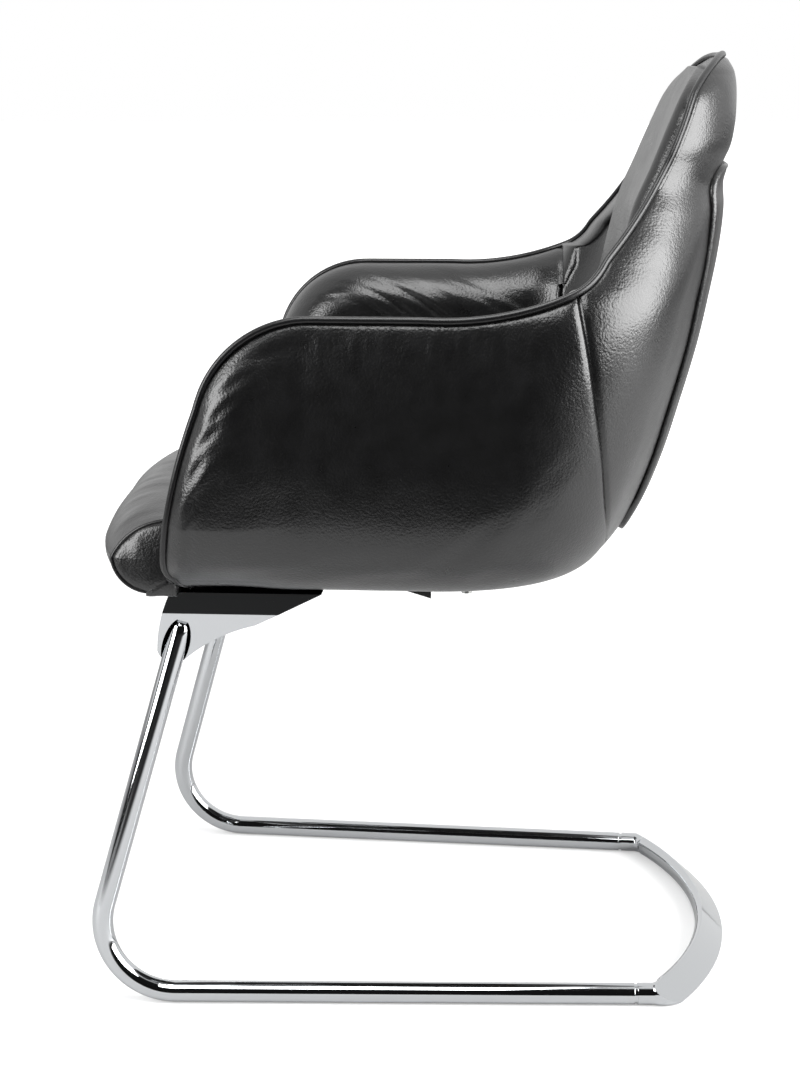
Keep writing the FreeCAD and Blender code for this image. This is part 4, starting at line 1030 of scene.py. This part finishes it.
def cord_leather():
    """Smooth black leather drawn tight over a cord."""
    material, tree, shader = new_material("smooth_cord_leather")
    point = object_point(tree)
    grain = add(tree, "ShaderNodeTexNoise", Vector=point, Scale=1 / 0.0015, Detail=3.0)
    bump = add(tree, "ShaderNodeBump", Height=grain.outputs["Fac"], Strength=0.15, Distance=0.0003)
    feed(tree, shader, "Normal", bump.outputs["Normal"])
    gloss = add(tree, "ShaderNodeMapRange", Value=grain.outputs["Fac"], To_Min=0.26, To_Max=0.38)
    feed(tree, shader, "Roughness", gloss.outputs[0])
    shader.inputs["Base Color"].default_value = colour("0c0c0d")
    return material


# %% Metals, wood and cloth
def polished_chrome():
    """Chrome plate on polished steel, with the faint haze of wiping."""
    material, tree, shader = new_material("polished_chrome_plate")
    haze = add(tree, "ShaderNodeTexNoise", Vector=object_point(tree), Scale=1 / 0.03, Detail=5.0)
    gloss = add(tree, "ShaderNodeMapRange", Value=haze.outputs["Fac"], To_Min=0.03, To_Max=0.08)
    feed(tree, shader, "Roughness", gloss.outputs[0])
    shader.inputs["Base Color"].default_value = colour("c6c8ca")
    shader.inputs["Metallic"].default_value = 1.0
    return material


def rough_material(name, code, grain_size, roughness, metallic=0.0, spread=0.1):
    """A plain finish with a fine noise in its roughness and relief."""
    material, tree, shader = new_material(name)
    grain = add(tree, "ShaderNodeTexNoise", Vector=object_point(tree), Scale=1 / grain_size, Detail=4.0)
    gloss = add(tree, "ShaderNodeMapRange", Value=grain.outputs["Fac"],
                To_Min=roughness - spread, To_Max=roughness + spread)
    bump = add(tree, "ShaderNodeBump", Height=grain.outputs["Fac"], Strength=0.2, Distance=0.0003)
    feed(tree, shader, "Roughness", gloss.outputs[0])
    feed(tree, shader, "Normal", bump.outputs["Normal"])
    shader.inputs["Base Color"].default_value = colour(code)
    shader.inputs["Metallic"].default_value = metallic
    return material


def birch_plywood():
    """Birch faces with long grain and darker streaks."""
    material, tree, shader = new_material("birch_plywood")
    stretch = add(tree, "ShaderNodeMapping", Vector=object_point(tree))
    stretch.inputs["Scale"].default_value = (1 / 0.004, 1 / 0.06, 1 / 0.004)
    grain = add(tree, "ShaderNodeTexNoise", Vector=stretch.outputs[0], Scale=1.0, Detail=6.0)
    shade = add(tree, "ShaderNodeMix", {"data_type": "RGBA"}, Factor=grain.outputs["Fac"])
    shade.inputs[6].default_value = colour("c9a877")
    shade.inputs[7].default_value = colour("a98452")
    feed(tree, shader, "Base Color", shade.outputs[2])
    shader.inputs["Roughness"].default_value = 0.6
    return material


materials = {
    "leather": grained_leather(),
    "piping": cord_leather(),
    "chrome": polished_chrome(),
    "plywood": birch_plywood(),
    "black_steel": rough_material("black_powder_coat", "161616", 0.0006, 0.5),
    "bright_steel": rough_material("zinc_plated_steel", "a5a6a3", 0.0008, 0.35, 1.0),
    "black_cloth": rough_material("black_woven_cloth", "101010", 0.0008, 0.9, 0.0, 0.05),
}

print("materials:", ", ".join(material.name for material in materials.values()))

slots = {entry["node"]: entry["material_slot"] for entry in frame["record"]["subparts"]}
for name, item in frame["nodes"].items():
    for material_slot in item.material_slots:
        material_slot.material = materials[slots[name]]
finishes = {"cord": "piping", "steel": "chrome", "leather": "leather"}
for piece in bpy.data.objects:
    if piece.type == "MESH" and not piece.material_slots:
        word = next(word for word in finishes if word in piece.name)
        piece.data.materials.append(materials[finishes[word]])

# %% [markdown]
# ## Camera, floor and light
# The camera stands at the sitter's left, just below the back's top. The floor is white, and
# the room is white too, apart from its dark side behind the camera.

# %% Camera
CAMERA_PLACE = Vector((1.98927, 0.10632, 0.84834))
CAMERA_RIGHT = Vector((-0.0679, 0.9977, 0.0))
CAMERA_AHEAD = Vector((-0.9743, -0.0663, -0.2153)).normalized()


def photo_camera():
    lens = bpy.data.cameras.new("photo_camera")
    lens.lens = 68.37
    lens.sensor_width = 36
    lens.clip_end = 50
    camera = bpy.data.objects.new("photo_camera", lens)
    right = (CAMERA_RIGHT - CAMERA_AHEAD * CAMERA_RIGHT.dot(CAMERA_AHEAD)).normalized()
    up = right.cross(CAMERA_AHEAD)
    turn = Matrix((right, up, -CAMERA_AHEAD)).transposed()
    camera.matrix_world = Matrix.Translation(CAMERA_PLACE) @ turn.to_4x4()
    bpy.context.collection.objects.link(camera)
    bpy.context.scene.camera = camera


photo_camera()
print("the camera stands %.2f m up" % CAMERA_PLACE.z)

# %% Floor
FLOOR_REACH = 60.0
FLOOR_DROP = 0.0005
FLOOR_GLOW = 0.35
GLOW_START = 0.9
GLOW_FULL = 3.0
SEEN_PAPER = 0.62
PAPER_END = 0.60
DARK_START = 1.05


def white_floor():
    """White paper under the chair, clear from below. Reflections see it end before the camera."""
    floor_mesh = bpy.data.meshes.new("floor")
    corners = [(x * FLOOR_REACH, y * FLOOR_REACH, 0) for x, y in ((-1, -1), (1, -1), (1, 1), (-1, 1))]
    floor_mesh.from_pydata(corners, [], [(0, 1, 2, 3)])
    floor = bpy.data.objects.new("floor", floor_mesh)
    floor.location.z = -FLOOR_DROP
    bpy.context.collection.objects.link(floor)
    material, tree, shader = new_material("white_studio_paper")
    split = add(tree, "ShaderNodeSeparateXYZ", Vector=object_point(tree))
    paper = add(tree, "ShaderNodeMapRange", {"interpolation_type": "SMOOTHSTEP"},
                Value=split.outputs["X"], From_Min=PAPER_END, From_Max=DARK_START, To_Min=0.50, To_Max=0.01)
    path = add(tree, "ShaderNodeLightPath")
    shown = add(tree, "ShaderNodeMath", {"operation": "MULTIPLY"},
                _0=path.outputs["Is Camera Ray"], _1=SEEN_PAPER)
    paper = add(tree, "ShaderNodeMath", {"operation": "MAXIMUM"},
                _0=paper.outputs[0], _1=shown.outputs[0])
    grey = add(tree, "ShaderNodeCombineXYZ", X=paper.outputs[0], Y=paper.outputs[0], Z=paper.outputs[0])
    feed(tree, shader, "Base Color", grey.outputs[0])
    shader.inputs["Roughness"].default_value = 0.7
    shader.inputs["Specular IOR Level"].default_value = 0.1
    away = add(tree, "ShaderNodeVectorMath", {"operation": "LENGTH"}, _0=object_point(tree))
    far = add(tree, "ShaderNodeMapRange", Value=away.outputs["Value"],
              From_Min=GLOW_START, From_Max=GLOW_FULL, To_Min=FLOOR_GLOW, To_Max=1.0)
    glow = add(tree, "ShaderNodeMath", {"operation": "MULTIPLY"},
               _0=path.outputs["Is Camera Ray"], _1=far.outputs[0])
    light = add(tree, "ShaderNodeEmission", Strength=glow.outputs[0])
    lit = add(tree, "ShaderNodeAddShader", _0=shader.outputs[0], _1=light.outputs[0])
    below = add(tree, "ShaderNodeNewGeometry").outputs["Backfacing"]
    clear = add(tree, "ShaderNodeBsdfTransparent")
    both = add(tree, "ShaderNodeMixShader", _0=below, _1=lit.outputs[0], _2=clear.outputs[0])
    tree.links.new(both.outputs[0], tree.nodes["Material Output"].inputs["Surface"])
    floor_mesh.materials.append(material)


white_floor()
print("in reflections the paper darkens from x = %.2f m" % PAPER_END)

# %% Room and lamps
def studio_room():
    """White for the camera. For all else, white with a dark side behind the camera."""
    world = bpy.data.worlds.new("studio_room")
    bpy.context.scene.world = world
    world.use_nodes = True
    tree = world.node_tree
    tree.nodes.clear()
    direction = add(tree, "ShaderNodeTexCoord").outputs["Generated"]
    split = add(tree, "ShaderNodeSeparateXYZ", Vector=direction)
    dark = add(tree, "ShaderNodeMapRange", {"interpolation_type": "SMOOTHSTEP"},
               Value=split.outputs["X"], From_Min=0.05, From_Max=0.38, To_Min=1.0, To_Max=0.01)
    room = add(tree, "ShaderNodeCombineXYZ", X=dark.outputs[0], Y=dark.outputs[0], Z=dark.outputs[0])
    lit = add(tree, "ShaderNodeBackground", Color=room.outputs[0], Strength=1.0)
    seen = add(tree, "ShaderNodeBackground", Color=(1, 1, 1, 1), Strength=1.0)
    path = add(tree, "ShaderNodeLightPath")
    choice = add(tree, "ShaderNodeMixShader", _0=path.outputs["Is Camera Ray"],
                 _1=lit.outputs[0], _2=seen.outputs[0])
    add(tree, "ShaderNodeOutputWorld", Surface=choice.outputs[0])


def softbox(name, place, target, width, height, power):
    lamp = bpy.data.lights.new(name, "AREA")
    lamp.shape = "RECTANGLE"
    lamp.size = width
    lamp.size_y = height
    lamp.energy = power
    box = bpy.data.objects.new(name, lamp)
    box.location = place
    box.rotation_euler = (Vector(target) - Vector(place)).to_track_quat("-Z", "Y").to_euler()
    bpy.context.collection.objects.link(box)
    print(name, "gives", power, "W")


studio_room()
softbox("rear_softbox", (0.8, 2.3, 1.25), (0, 0.2, 0.6), 2.2, 2.2, 150)
softbox("front_softbox", (1.65, -1.85, 1.1), (0, -0.2, 0.5), 1.2, 2.0, 65)
softbox("top_softbox", (1.1, -0.1, 2.6), (0, 0, 0.5), 0.9, 2.0, 42)

bpy.context.scene.view_settings.view_transform = "Standard"
